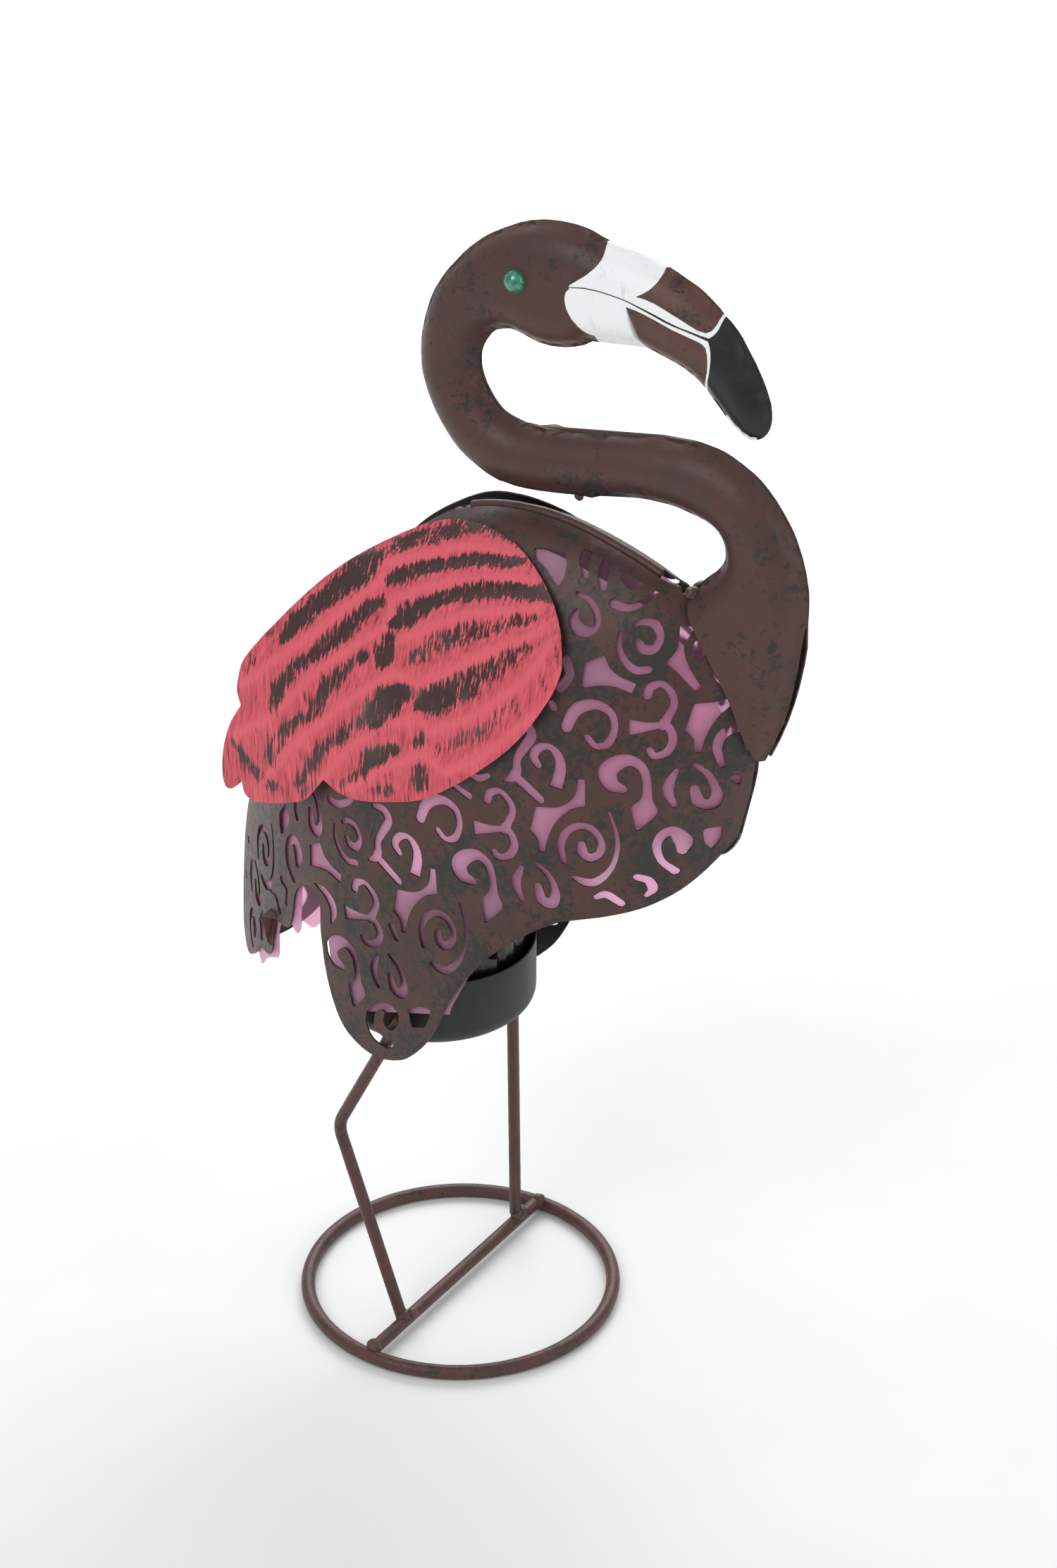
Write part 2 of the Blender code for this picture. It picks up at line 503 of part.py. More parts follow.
def largest_patch(faces):
    """The faces that hang together by edges in the largest patch."""
    owner = {}
    for index, face in enumerate(faces):
        for a, b in zip(face, face[1:] + face[:1]):
            owner.setdefault((min(a, b), max(a, b)), []).append(index)
    links = {}
    for pair in owner.values():
        if len(pair) == 2:
            links.setdefault(pair[0], []).append(pair[1])
            links.setdefault(pair[1], []).append(pair[0])
    seen, best = set(), []
    for start in range(len(faces)):
        if start in seen:
            continue
        patch, stack = [], [start]
        seen.add(start)
        while stack:
            face = stack.pop()
            patch.append(face)
            for other in links.get(face, []):
                if other not in seen:
                    seen.add(other)
                    stack.append(other)
        if len(patch) > len(best):
            best = patch
    return [faces[i] for i in sorted(best)]


def without_pinches(faces):
    """Leave out faces until no two patches meet at a single point."""
    while True:
        rim = {}
        for face in faces:
            for a, b in zip(face, face[1:] + face[:1]):
                key = (min(a, b), max(a, b))
                rim[key] = rim.get(key, 0) + 1
        ends = {}
        for (a, b), count in rim.items():
            if count == 1:
                ends[a] = ends.get(a, 0) + 1
                ends[b] = ends.get(b, 0) + 1
        pinched = {v for v, count in ends.items() if count > 2}
        if not pinched:
            return faces
        faces = largest_patch([f for f in faces if not pinched & set(f)])


def cut_sheet(outline, holes=(), margin=0.0, spacing=0.02, lines=()):
    """Flat triangles that fill an outline, less the holes kept a margin inside it."""
    border = inset(outline, margin) if len(holes) else None
    loops = [outline, *holes]
    if border is not None:
        loops.append(border)
    points, edges = [], []
    for loop in loops:
        first = len(points)
        points.extend(loop)
        count = len(loop)
        edges += [(first + i, first + (i + 1) % count) for i in range(count)]
    for line in lines:
        first = len(points)
        points.extend(line)
        edges += [(first + i, first + i + 1) for i in range(len(line) - 1)]
    grid = grid_inside(outline, spacing, spacing * 0.45)
    for hole in holes:
        near = distance_to(grid, closed_line(hole)) < 2 * UNIT
        grid = grid[~(near | winds_round(grid, hole))]
    points.extend(grid)
    flat = [Vector((float(p[0]), float(p[1]))) for p in points]
    verts, _, faces, *_ = delaunay_2d_cdt(flat, edges, [], 0, 1e-6)
    verts = np.array([tuple(v) for v in verts])
    faces = [tuple(face) for face in faces]
    middle = np.array([verts[list(face)].mean(0) for face in faces])
    keep = winds_round(middle, outline)
    if len(holes):
        cut = np.zeros(len(middle), bool)
        for hole in holes:
            cut |= winds_round(middle, hole)
        keep &= ~(cut & winds_round(middle, border))
    kept = largest_patch([face for face, wanted in zip(faces, keep) if wanted])
    return verts, without_pinches(kept)


def pressed_sheet(name, finish, collection, flat, depth, side, thickness, push=0.0):
    """A flat pattern pressed to a depth below the mid-plane and given its thickness.

    side is -1 for the right of the bird and +1 for the left; push moves the
    sheet along its own normal, outwards when positive.
    """
    verts, faces = flat
    used = sorted({v for face in faces for v in face})
    index = {v: i for i, v in enumerate(used)}
    place = verts[used]
    y = depth(place)
    mesh = bpy.data.meshes.new(name)
    # the flat triangles turn anticlockwise in (x, z), so they face -Y as drawn
    order = 1 if side < 0 else -1
    corners = [(float(p[0]), float(side * d), float(p[1])) for p, d in zip(place, y)]
    mesh.from_pydata(corners, [], [[index[v] for v in face][::order] for face in faces])
    if push:
        moved = [v.co + v.normal * push for v in mesh.vertices]
        for vert, where in zip(mesh.vertices, moved):
            vert.co = where
    obj = bpy.data.objects.new(name, mesh)
    put_in(collection, obj, finish)
    wall = obj.modifiers.new("thickness", "SOLIDIFY")
    wall.thickness = thickness
    wall.offset = 0.0
    wall.use_even_offset = True
    return obj


def dome_radius(bearing):
    """The body's outer radius at a bearing in degrees, in drawing units."""
    angles = np.array([row[0] for row in DOME])
    radii = np.array([row[1] for row in DOME])
    angles = np.concatenate([angles[-2:] - 360, angles, angles[:2] + 360])
    radii = np.concatenate([radii[-2:], radii, radii[:2]])
    slope = np.gradient(radii, angles)
    at = np.clip(np.searchsorted(angles, bearing) - 1, 0, len(angles) - 2)
    gap = angles[at + 1] - angles[at]
    t = (bearing - angles[at]) / gap
    return ((2 * t ** 3 - 3 * t ** 2 + 1) * radii[at] + (t ** 3 - 2 * t ** 2 + t) * gap * slope[at]
            + (3 * t ** 2 - 2 * t ** 3) * radii[at + 1] + (t ** 3 - t ** 2) * gap * slope[at + 1])


def bearing_and_reach(points):
    """Bearing in degrees and distance from the dome's centre in drawing units."""
    across = np.asarray(points) / UNIT - DOME_CENTRE
    bearing = np.degrees(np.arctan2(across[:, 1], across[:, 0]))
    bearing = np.where(bearing < DOME[0][0], bearing + 360, bearing)
    return bearing, np.hypot(across[:, 0], across[:, 1])


def hip_contact():
    """Where along X the bent leg first meets the cup's straight wall."""
    wall = CUP_FLOOR + CUP_CORNER / 2
    share = (wall - KNEE[1]) / (HIP_TOP[1] - KNEE[1])
    return KNEE[0] + share * (HIP_TOP[0] - KNEE[0])


def leg_side(x):
    """How far out a leg stands where it touches the side of the cup."""
    reach = CUP_DIAMETER / 2 + LEG_ROD / 2 + CONTACT_GAP
    return math.sqrt(reach ** 2 - (x - CUP_X) ** 2)


def body_half_width():
    """Half the body's width, so that the lobes clear the legs on their inside."""
    leg = max(leg_side(STRAIGHT_LEG_TOP), leg_side(hip_contact()))
    return leg + LEG_ROD / 2 + CONTACT_GAP + SHEET / 2 + LOBE_TUCK


def body_depth(points):
    """Distance of the body panel from the mid-plane."""
    bearing, reach = bearing_and_reach(points)
    angles = [row[0] for row in DOME]
    gap = np.interp(bearing, angles, [row[2] for row in DOME], period=360) * UNIT
    roundness = np.interp(bearing, angles, [row[3] for row in DOME], period=360)
    share = np.clip(reach / dome_radius(bearing), 0.0, 1.0)
    return gap + (body_half_width() - gap) * (1 - share ** 2) ** roundness


def seam_points(first, last, parts, share=1.0):
    """Points that divide the body's seam between two bearings, in drawing units."""
    bearing = np.linspace(first, last, parts + 1)
    radius = dome_radius(bearing) * share
    turn = np.radians(bearing)
    return np.column_stack([DOME_CENTRE[0] + radius * np.cos(turn),
                            DOME_CENTRE[1] + radius * np.sin(turn)])


def panel_outline():
    """The body panel's cut edge, in metres."""
    back = seam_points(*BACK_SEAM, BACK_PARTS)
    chest = seam_points(*CHEST_SEAM, CHEST_PARTS)
    seam = [tuple(p) for p in back]
    runs = [
        *PANEL_EDGES,
        ((-152.6, 212.0), *seam[::-1], NECK_OVERLAP[0]),
        NECK_OVERLAP,
        (NECK_OVERLAP[-1], *[tuple(p) for p in chest[::-1]], PANEL_EDGES[0][0]),
    ]
    return edge_from_runs(runs, OUTLINE_TOLERANCE)


def liner_outline():
    """The pink liner's edge, in metres."""
    back = seam_points(*LINER_BACK, LINER_BACK_PARTS, LINER_SHARE)
    front = [tuple(p) for p in seam_points(*LINER_FRONT, LINER_FRONT_PARTS, LINER_SHARE)]
    runs = [
        *LINER_EDGE,
        (LINER_EDGE[-1][-1], *[tuple(p) for p in back[::-1]], *front[::-1], LINER_EDGE[0][0]),
    ]
    return edge_from_runs(runs, 2 * OUTLINE_TOLERANCE)


def neck_free_edges(tolerance):
    """The neck's edges that meet at the mid-plane, as one line in metres."""
    runs = (NECK_BACK, NECK_CHIN, NECK_FRONT)
    line = [thin_out(curve_through(np.asarray(run) * UNIT), tolerance) for run in runs]
    return np.vstack(line)


def neck_depth(points):
    """Distance of the neck and head half from the mid-plane."""
    points = np.asarray(points)
    in_from_edge = distance_to(points, neck_free_edges(OUTLINE_TOLERANCE))
    share = np.clip((in_from_edge - NECK_FLANGE) / NECK_SHOULDER, 0.0, 1.0)
    rise = (1 - (1 - share) ** 2) ** 0.6
    beak = np.clip((points[:, 0] / UNIT - BEAK_ROOT) / (BEAK_TIP - BEAK_ROOT), 0.0, 1.0)
    beak = np.where(points[:, 1] > 565 * UNIT, beak, 0.0)
    depth = NECK_DEPTH * rise * (1 - (1 - BEAK_TIP_SHARE) * beak)
    rim = CONTACT_GAP / 2 + SHEET / 2
    over_body = body_depth(points) + NECK_SLANT * (SHEET + CONTACT_GAP)
    over_body = np.where(points[:, 1] < 487 * UNIT, over_body, 0.0)
    return np.maximum(rim + depth, over_body)


def wing_press(points):
    """The wing's curve across its length, before it is set against the body."""
    across = np.asarray(points) / UNIT - WING_CREST
    shoulder = WING_FALL * np.maximum(across[:, 1], 0.0) ** 2
    return -(shoulder + WING_BOW * across[:, 0] ** 2) * UNIT


def wing_stand_off():
    """Depth that makes the wing just touch the body panel."""
    outline = edge_from_runs(WING_EDGES, OUTLINE_TOLERANCE)
    points = np.vstack([outline, grid_inside(outline, 5 * UNIT, 0.0)])
    return float((body_depth(points) - wing_press(points)).max()) + SHEET + CONTACT_GAP


def make_body_panels(collection):
    flat = cut_sheet(panel_outline(), cut_outs(), PATTERN_MARGIN, PANEL_GRID)
    for name, side in (("body_panel_right", -1), ("body_panel_left", 1)):
        pressed_sheet(name, "rust_brown", collection, flat, body_depth, side, SHEET)


def make_liners(collection):
    flat = cut_sheet(liner_outline(), spacing=1.25 * PANEL_GRID)
    inwards = -(SHEET / 2 + LINER_GAP + LINER_SHEET / 2)
    for name, side in (("liner_right", -1), ("liner_left", 1)):
        pressed_sheet(name, "pink_film", collection, flat, body_depth, side, LINER_SHEET, inwards)


def make_wings(collection):
    outline = edge_from_runs(WING_EDGES, OUTLINE_TOLERANCE)
    quills = [np.asarray(q)[::2] * UNIT for q in (*UPPER_QUILLS, *LOWER_QUILLS)]
    valleys = []
    for tier in (UPPER_QUILLS, LOWER_QUILLS):
        for one, other in zip(tier, tier[1:]):
            valleys.append((np.asarray(one) + np.asarray(other))[::2] / 2 * UNIT)
    flat = cut_sheet(outline, spacing=60 * UNIT, lines=quills + valleys)
    stand_off = wing_stand_off()

    def depth(points):
        near_quill = np.min([distance_to(points, q) for q in quills], axis=0)
        relief = FEATHER_RELIEF * (near_quill < 0.5 * UNIT)
        return stand_off + wing_press(points) + relief

    for name, side in (("wing_right", -1), ("wing_left", 1)):
        pressed_sheet(name, "wing_pink", collection, flat, depth, side, SHEET)


def make_neck(collection):
    runs = (NECK_BACK, NECK_CHIN, NECK_FRONT, (NECK_FRONT[-1], NECK_HEM[0]), NECK_HEM)
    outline = edge_from_runs(runs, OUTLINE_TOLERANCE)
    shoulder = inset(outline, 5.0 * UNIT)
    flat = cut_sheet(outline, spacing=NECK_GRID, lines=[shoulder])
    for name, side in (("neck_head_right", -1), ("neck_head_left", 1)):
        pressed_sheet(name, "rust_brown", collection, flat, neck_depth, side, SHEET)


def make_eyes(collection):
    place = np.array([EYE_PLACE]) * UNIT
    radius = EYE_DIAMETER / 2
    back = float(neck_depth(place)[0]) + SHEET / 2 + CONTACT_GAP
    for name, side in (("eye_right", -1), ("eye_left", 1)):
        bm = bmesh.new()
        bmesh.ops.create_uvsphere(bm, u_segments=10, v_segments=6, radius=radius)
        bmesh.ops.bisect_plane(bm, geom=bm.verts[:] + bm.edges[:] + bm.faces[:],
                               plane_co=(0, 0, 0), plane_no=(0, 0, -1), clear_outer=True)
        bmesh.ops.contextual_create(bm, geom=[e for e in bm.edges if e.is_boundary])
        bmesh.ops.recalc_face_normals(bm, faces=bm.faces[:])
        mesh = bpy.data.meshes.new(name)
        bm.to_mesh(mesh)
        bm.free()
        mesh.shade_smooth()
        obj = bpy.data.objects.new(name, mesh)
        put_in(collection, obj, "eye_green")
        obj.rotation_euler = (math.radians(90) * -side, 0, 0)
        obj.location = (place[0, 0], side * back, place[0, 1])


def turned(name, finish, collection, profile, centre, segments):
    """A profile of (radius, height) points turned about a vertical axis.

    A profile that starts on the axis is left open there, and any other is closed.
    """
    mesh = bpy.data.meshes.new(name)
    edges = [(i, i + 1) for i in range(len(profile) - 1)]
    if profile[0][0] > 0:
        edges.append((len(profile) - 1, 0))
    mesh.from_pydata([(r, 0, h) for r, h in profile], edges, [])
    obj = bpy.data.objects.new(name, mesh)
    put_in(collection, obj, finish)
    obj.location = centre
    screw = obj.modifiers.new("turn", "SCREW")
    screw.steps = segments
    screw.render_steps = segments
    screw.use_merge_vertices = True
    screw.merge_threshold = 0.00005
    screw.use_normal_calculate = True


def make_ring(collection):
    """The ground ring, of round rod with a flat facet underneath."""
    reach = RING_ROD / 2 / math.cos(math.pi / ROD_SIDES)
    turns = [math.radians(-90 + (i + 0.5) * 360 / ROD_SIDES) for i in range(ROD_SIDES)]
    profile = [(RING_DIAMETER / 2 + reach * math.cos(a), reach * math.sin(a)) for a in turns]
    turned("ring_base", "rust_brown", collection, profile[::-1],
           (0, -RING_OFFSET, RING_ROD / 2), RING_SIDES)


def rod(name, collection, points, diameter, facets=2):
    """A round rod along a line of points, with closed ends."""
    curve = bpy.data.curves.new(name, "CURVE")
    curve.dimensions = "3D"
    curve.bevel_depth = diameter / 2
    curve.bevel_resolution = facets
    curve.use_fill_caps = True
    spline = curve.splines.new("POLY")
    spline.points.add(len(points) - 1)
    for point, where in zip(spline.points, points):
        point.co = (*where, 1.0)
    obj = bpy.data.objects.new(name, curve)
    put_in(collection, obj, "rust_brown")
    bpy.context.view_layer.update()
    solid = bpy.data.meshes.new_from_object(obj.evaluated_get(
        bpy.context.evaluated_depsgraph_get()))
    bpy.data.objects.remove(obj, do_unlink=True)
    bm = bmesh.new()
    bm.from_mesh(solid)
    bmesh.ops.remove_doubles(bm, verts=bm.verts[:], dist=0.00001)
    bm.to_mesh(solid)
    bm.free()
    solid.name = name
    made = bpy.data.objects.new(name, solid)
    return put_in(collection, made, "rust_brown")


def make_stand(collection):
    """The cross bar inside the ring and the two legs that stand on it."""
    inner = (RING_DIAMETER - RING_ROD) / 2 * math.cos(math.pi / RING_SIDES)
    half = math.sqrt(inner ** 2 - (abs(FOOT_X) + BAR_ROD / 2) ** 2) - CONTACT_GAP
    height = RING_ROD / 2 + BAR_LIFT
    ends = [(FOOT_X, -RING_OFFSET - half, height), (FOOT_X, -RING_OFFSET + half, height)]
    rod("cross_bar", collection, ends, BAR_ROD)
    stand = BAR_ROD / 2 + CONTACT_GAP
    bar = np.array((FOOT_X - LEG_SET_BACK, height))
    knee = np.array(KNEE)
    top = np.array(HIP_TOP)
    shin = (bar - knee) / np.hypot(*(bar - knee))
    thigh = (top - knee) / np.hypot(*(top - knee))
    below = knee + shin * KNEE_BEND
    above = knee + thigh * KNEE_BEND
    corner = (knee + (below + above) / 2) / 2
    foot = bar - shin * (stand - LEG_SET_BACK * shin[0])
    line = [foot, below, corner, above, top]
    side = leg_side(hip_contact())
    rod("leg_right", collection, [(p[0], -side, p[1]) for p in line], LEG_ROD)
    side = leg_side(STRAIGHT_LEG_TOP)
    ends = [(FOOT_X - LEG_SET_BACK, side, height + stand),
            (STRAIGHT_LEG_TOP, side, CUP_FLOOR + CUP_HEIGHT / 2)]
    rod("leg_left", collection, ends, LEG_ROD)


def make_spine(collection):
    """The round rod that joins the two body panels along the back."""
    line = seam_points(SPINE_START, SPINE_START + SPINE_SWEEP, SPINE_PARTS)
    points = [(x * UNIT, 0.0, z * UNIT) for x, z in line]
    rod("spine_rod", collection, points, SPINE_ROD)


def make_cup(collection):
    """The open cup between the lobes, with a rounded foot."""
    outer = CUP_DIAMETER / 2
    inner = outer - CUP_WALL
    bend = 3
    turns = [math.radians(-90 + i * 90 / bend) for i in range(bend + 1)]
    middle = outer - CUP_CORNER
    outside = [(middle + CUP_CORNER * math.cos(a), CUP_CORNER + CUP_CORNER * math.sin(a))
               for a in turns]
    corner = CUP_CORNER - CUP_WALL
    inside = [(middle + corner * math.cos(a), CUP_CORNER + corner * math.sin(a)) for a in turns]
    profile = [(0, CUP_WALL), *inside, (inner, CUP_HEIGHT), (outer, CUP_HEIGHT), *outside[::-1],
               (0, 0)]
    turned("cup", "cup_grey", collection, profile, (CUP_X, 0, CUP_FLOOR), CUP_SIDES)


def make_cup_lining(collection):
    """The crumpled black film that stands ruffled inside the cup."""
    floor = CUP_WALL + 2 * CONTACT_GAP
    levels = ((floor, CUP_CORNER * 0.85, 0.0), (CUP_CORNER + 0.002, 0.0, 0.3),
              (CUP_HEIGHT + 0.007, 0.0, 1.0))
    around = CUP_SIDES
    wall = CUP_DIAMETER / 2 - CUP_WALL - 2 * CONTACT_GAP - LINER_SHEET / 2
    mesh = bpy.data.meshes.new("cup_lining")
    corners = []
    for height, draw_in, ruffle in levels:
        for i in range(around):
            turn = 2 * math.pi * i / around
            fold = ruffle * 0.0035 * (1 + math.cos(math.pi * i + math.sin(3 * turn)))
            radius = wall - draw_in - fold
            lift = ruffle * 0.002 * math.sin(5 * turn)
            corners.append((radius * math.cos(turn), radius * math.sin(turn), height + lift))
    faces = []
    for level in range(len(levels) - 1):
        for i in range(around):
            j = (i + 1) % around
            low, high = level * around, (level + 1) * around
            faces.append((low + i, low + j, high + j, high + i))
    mesh.from_pydata(corners, [], faces)
    obj = bpy.data.objects.new("cup_lining", mesh)
    put_in(collection, obj, "black_film")
    obj.location = (CUP_X, 0, CUP_FLOOR)
    wall = obj.modifiers.new("thickness", "SOLIDIFY")
    wall.thickness = LINER_SHEET
    wall.offset = 0.0


def centre_on_origin(collection):
    """Put the middle of the statue's footprint on the origin."""
    bpy.context.view_layer.update()
    graph = bpy.context.evaluated_depsgraph_get()
    low = np.full(3, np.inf)
    high = -low
    for obj in collection.objects:
        body = obj.evaluated_get(graph)
        mesh = body.to_mesh()
        points = np.array([tuple(body.matrix_world @ v.co) for v in mesh.vertices])
        low = np.minimum(low, points.min(0))
        high = np.maximum(high, points.max(0))
        body.to_mesh_clear()
    middle = Vector(((low[0] + high[0]) / 2, (low[1] + high[1]) / 2, low[2]))
    for obj in collection.objects:
        obj.location -= middle


def main():
    clear_scene()
    collection = bpy.data.collections.new("garden_flamingo")
    bpy.context.scene.collection.children.link(collection)
    make_ring(collection)
    make_stand(collection)
    make_cup(collection)
    make_cup_lining(collection)
    make_spine(collection)
    make_body_panels(collection)
    make_liners(collection)
    make_wings(collection)
    make_neck(collection)
    make_eyes(collection)
    centre_on_origin(collection)


main()
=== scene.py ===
import math

import bmesh
import bpy
import numpy as np
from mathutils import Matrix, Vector
from mathutils.geometry import delaunay_2d_cdt


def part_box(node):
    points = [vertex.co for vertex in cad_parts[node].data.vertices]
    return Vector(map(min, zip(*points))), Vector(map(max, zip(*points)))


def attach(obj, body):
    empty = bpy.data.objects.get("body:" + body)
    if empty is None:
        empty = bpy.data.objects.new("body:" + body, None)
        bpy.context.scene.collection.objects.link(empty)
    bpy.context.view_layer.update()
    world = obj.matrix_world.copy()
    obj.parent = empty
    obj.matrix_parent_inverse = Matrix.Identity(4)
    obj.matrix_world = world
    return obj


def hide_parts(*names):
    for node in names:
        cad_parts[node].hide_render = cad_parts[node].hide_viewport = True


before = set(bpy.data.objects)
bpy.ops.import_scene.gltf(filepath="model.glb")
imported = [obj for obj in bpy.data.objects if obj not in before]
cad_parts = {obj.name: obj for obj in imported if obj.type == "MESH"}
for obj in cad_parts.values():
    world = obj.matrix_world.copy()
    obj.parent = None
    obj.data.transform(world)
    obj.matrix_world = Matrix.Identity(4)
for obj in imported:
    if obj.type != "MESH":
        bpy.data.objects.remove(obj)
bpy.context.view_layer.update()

# The bird is drawn side-on in millimetres: x forward, z up, its mid-plane at y = 0.
# The ring's centre is at x = 0 and a little to the right of the mid-plane.
MM = 0.001
RING_OFFSET = 4.5
ring_low, ring_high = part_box("ring_base")
BIRD_X = (ring_low[0] + ring_high[0]) / 2
BIRD_Y = (ring_low[1] + ring_high[1]) / 2 + RING_OFFSET * MM

SHEET = 1.0
GAP = 0.3
RING_DIAMETER = 183.0
RING_ROD = 8.4
BAR_ROD = 7.8
LEG_ROD = 7.2
SPINE_ROD = 6.0
BAR_ABOVE_RING = 3.4
BAR_Z = RING_ROD / 2 + BAR_ABOVE_RING
BAR_SHORT_OF_RING = 1.0
ROD_STEP = 2.5
ROD_UNEVENNESS = 0.22
SPINE_UNEVENNESS = 0.5
WELD_LUMPS = 2.2
FOOT_X = -1.2
LEG_SET_BACK = 1.8
KNEE = (-45.3, 128.8)
HIP_TOP = (0.3, 214.0)
STRAIGHT_LEG_TOP = -5.2
CUP_X = -18.2
CUP_FLOOR = 191.9
CUP_RADIUS = 58.2
CUP_HEIGHT = 41.9
CUP_WALL = 1.2
CUP_CORNER = 11.0
LOBE_TUCK = 4.4
NECK_DEPTH = 12.5
NECK_SHOULDER = 16.4
NECK_FLANGE = 1.6
NECK_FULLNESS = 0.6
BEAK_ROOT = 91.0
BEAK_TIP = 184.0
BEAK_THINNING = 0.38
BEAK_LOWEST = 565.0
# the neck lies this much outside the body panel, up to where it leaves the body
NECK_STAND_OFF = 1.3 * (SHEET + GAP)
NECK_LEAVES_BODY = 490.0
NECK_LEAVES_OVER = 14.0
NECK_WELL_INSIDE = 20.0
NECK_BLEND = 4.0
EYE_PLACE = (46.3, 631.5)
EYE_DIAMETER = 12.0
EYE_HEIGHT = 0.86 * EYE_DIAMETER / 2
EYE_GAP = 0.05
FILM = 0.4
FILM_GAP = 0.7
FILM_SLACK = 0.45
CUP_FILM = 0.25
# the wing is highest at its crest, falls towards its top edge and bows towards both ends
WING_CREST = (20.0, 360.0)
WING_FALL = 0.0022
WING_BOW = 0.0006
FEATHER_RISE = 2.0
UPPER_TIER_STEP = 0.5
WING_FLAT_RIM = 7.0
# width of a feather's crest, and how far a bare patch fades past its stroke
CREST_WIDTH = 3.2
PATCH_FADE = 1.55

FINE = 0.10
PANEL_GRID = 4.2
NECK_GRID = 2.6
WING_GRID = 1.9
PATTERN_MARGIN = 3.5

# each bearing from the centre in degrees, with the radius, half gap at the seam and roundness
DOME_CENTRE = (0.0, 290.0)
DOME = (
    (-60.0, 300.0, 3.0, 0.60), (-30.0, 232.0, 2.0, 0.65), (-5.0, 186.0, 1.5, 0.72),
    (19.4, 186.6, 1.5, 0.75), (31.0, 215.0, 1.5, 0.75), (45.0, 236.0, 2.0, 0.72),
    (55.0, 235.5, 4.0, 0.65), (63.3, 230.3, 3.8, 0.60), (75.7, 223.0, 3.8, 0.60),
    (90.0, 206.4, 3.8, 0.60), (103.0, 178.0, 5.0, 0.62), (115.0, 160.0, 5.0, 0.65),
    (135.5, 142.0, 4.0, 0.70), (159.0, 135.0, 4.0, 0.80), (182.0, 145.0, 4.0, 0.95),
    (200.0, 161.0, 4.0, 1.00), (209.0, 174.5, 4.0, 1.00), (216.0, 188.0, 4.0, 0.95),
    (235.0, 240.0, 4.0, 0.80), (260.0, 310.0, 4.0, 0.60),
)

# bearings between which each seam runs, and how many straight parts it is drawn with
BACK_SEAM = (57.0, 205.0, 49)
CHEST_SEAM = (20.0, 30.0, 3)
FILM_BACK = (56.0, 204.0, 37)
FILM_FRONT = (30.0, 52.0, 5)
SPINE_SEAM = (57.5, 87.0, 15)

PANEL_EDGES = (
    ((175.9, 352.0), (170.7, 343.6), (163.6, 333.6), (155.0, 324.3), (145.0, 317.1),
     (135.0, 312.1), (122.1, 307.9), (110.7, 305.0), (99.5, 302.3)),
    ((99.5, 302.3), (88.0, 296.0), (74.0, 285.5), (60.0, 272.6), (50.0, 259.3),
     (41.4, 246.4), (34.3, 233.0), (28.6, 220.5), (20.7, 207.1), (9.3, 195.0), (0.7, 190.0),
     (-9.3, 187.6), (-17.9, 188.4), (-25.0, 190.9), (-33.6, 196.6), (-39.3, 204.3),
     (-43.6, 215.0), (-46.4, 225.0), (-48.6, 236.4), (-50.0, 246.4), (-51.3, 257.0),
     (-51.2, 268.6), (-52.0, 275.5), (-55.5, 279.0), (-61.5, 279.4), (-68.6, 276.0),
     (-73.6, 270.7), (-76.4, 264.0), (-78.0, 255.0), (-80.4, 247.0), (-84.2, 241.6),
     (-89.3, 239.8), (-95.0, 239.2), (-99.6, 238.2)),
    ((-99.6, 238.2), (-101.4, 227.5), (-103.2, 217.9), (-106.4, 211.9), (-110.6, 209.6),
     (-115.6, 209.0), (-120.4, 208.9)),
    ((-120.4, 208.9), (-126.4, 201.2), (-132.1, 195.7), (-138.6, 190.7), (-144.6, 188.0),
     (-149.0, 189.8), (-151.9, 195.0), (-152.9, 202.5), (-152.6, 212.0)),
)
NECK_OVERLAP = ((139.0, 483.4), (149.0, 474.5), (157.5, 463.5), (167.0, 449.0),
                (174.5, 436.0), (180.6, 421.0), (184.0, 407.0), (184.2, 397.0))
FILM_EDGE = (
    ((180.0, 392.0), (176.0, 366.0), (165.0, 340.0), (150.0, 323.5), (128.0, 312.5),
     (104.0, 305.8), (89.0, 298.5), (67.0, 281.0), (52.5, 264.5), (45.0, 250.0), (38.5, 237.0),
     (36.8, 231.4)),
    ((36.8, 231.4), (-18.1, 215.2), (-34.0, 211.8)),
    ((-34.0, 211.8), (-44.0, 225.6), (-46.2, 238.0), (-48.0, 256.0), (-48.6, 273.0), (-53.0, 281.0),
     (-62.0, 281.6), (-70.0, 274.0), (-71.6, 262.0), (-72.8, 246.4), (-77.0, 241.4),
     (-83.0, 244.0), (-92.0, 243.0), (-98.0, 230.7), (-99.6, 214.0), (-109.3, 207.2),
     (-117.9, 200.9), (-124.6, 193.4), (-131.0, 199.0), (-141.0, 199.0), (-147.0, 212.0)),
)

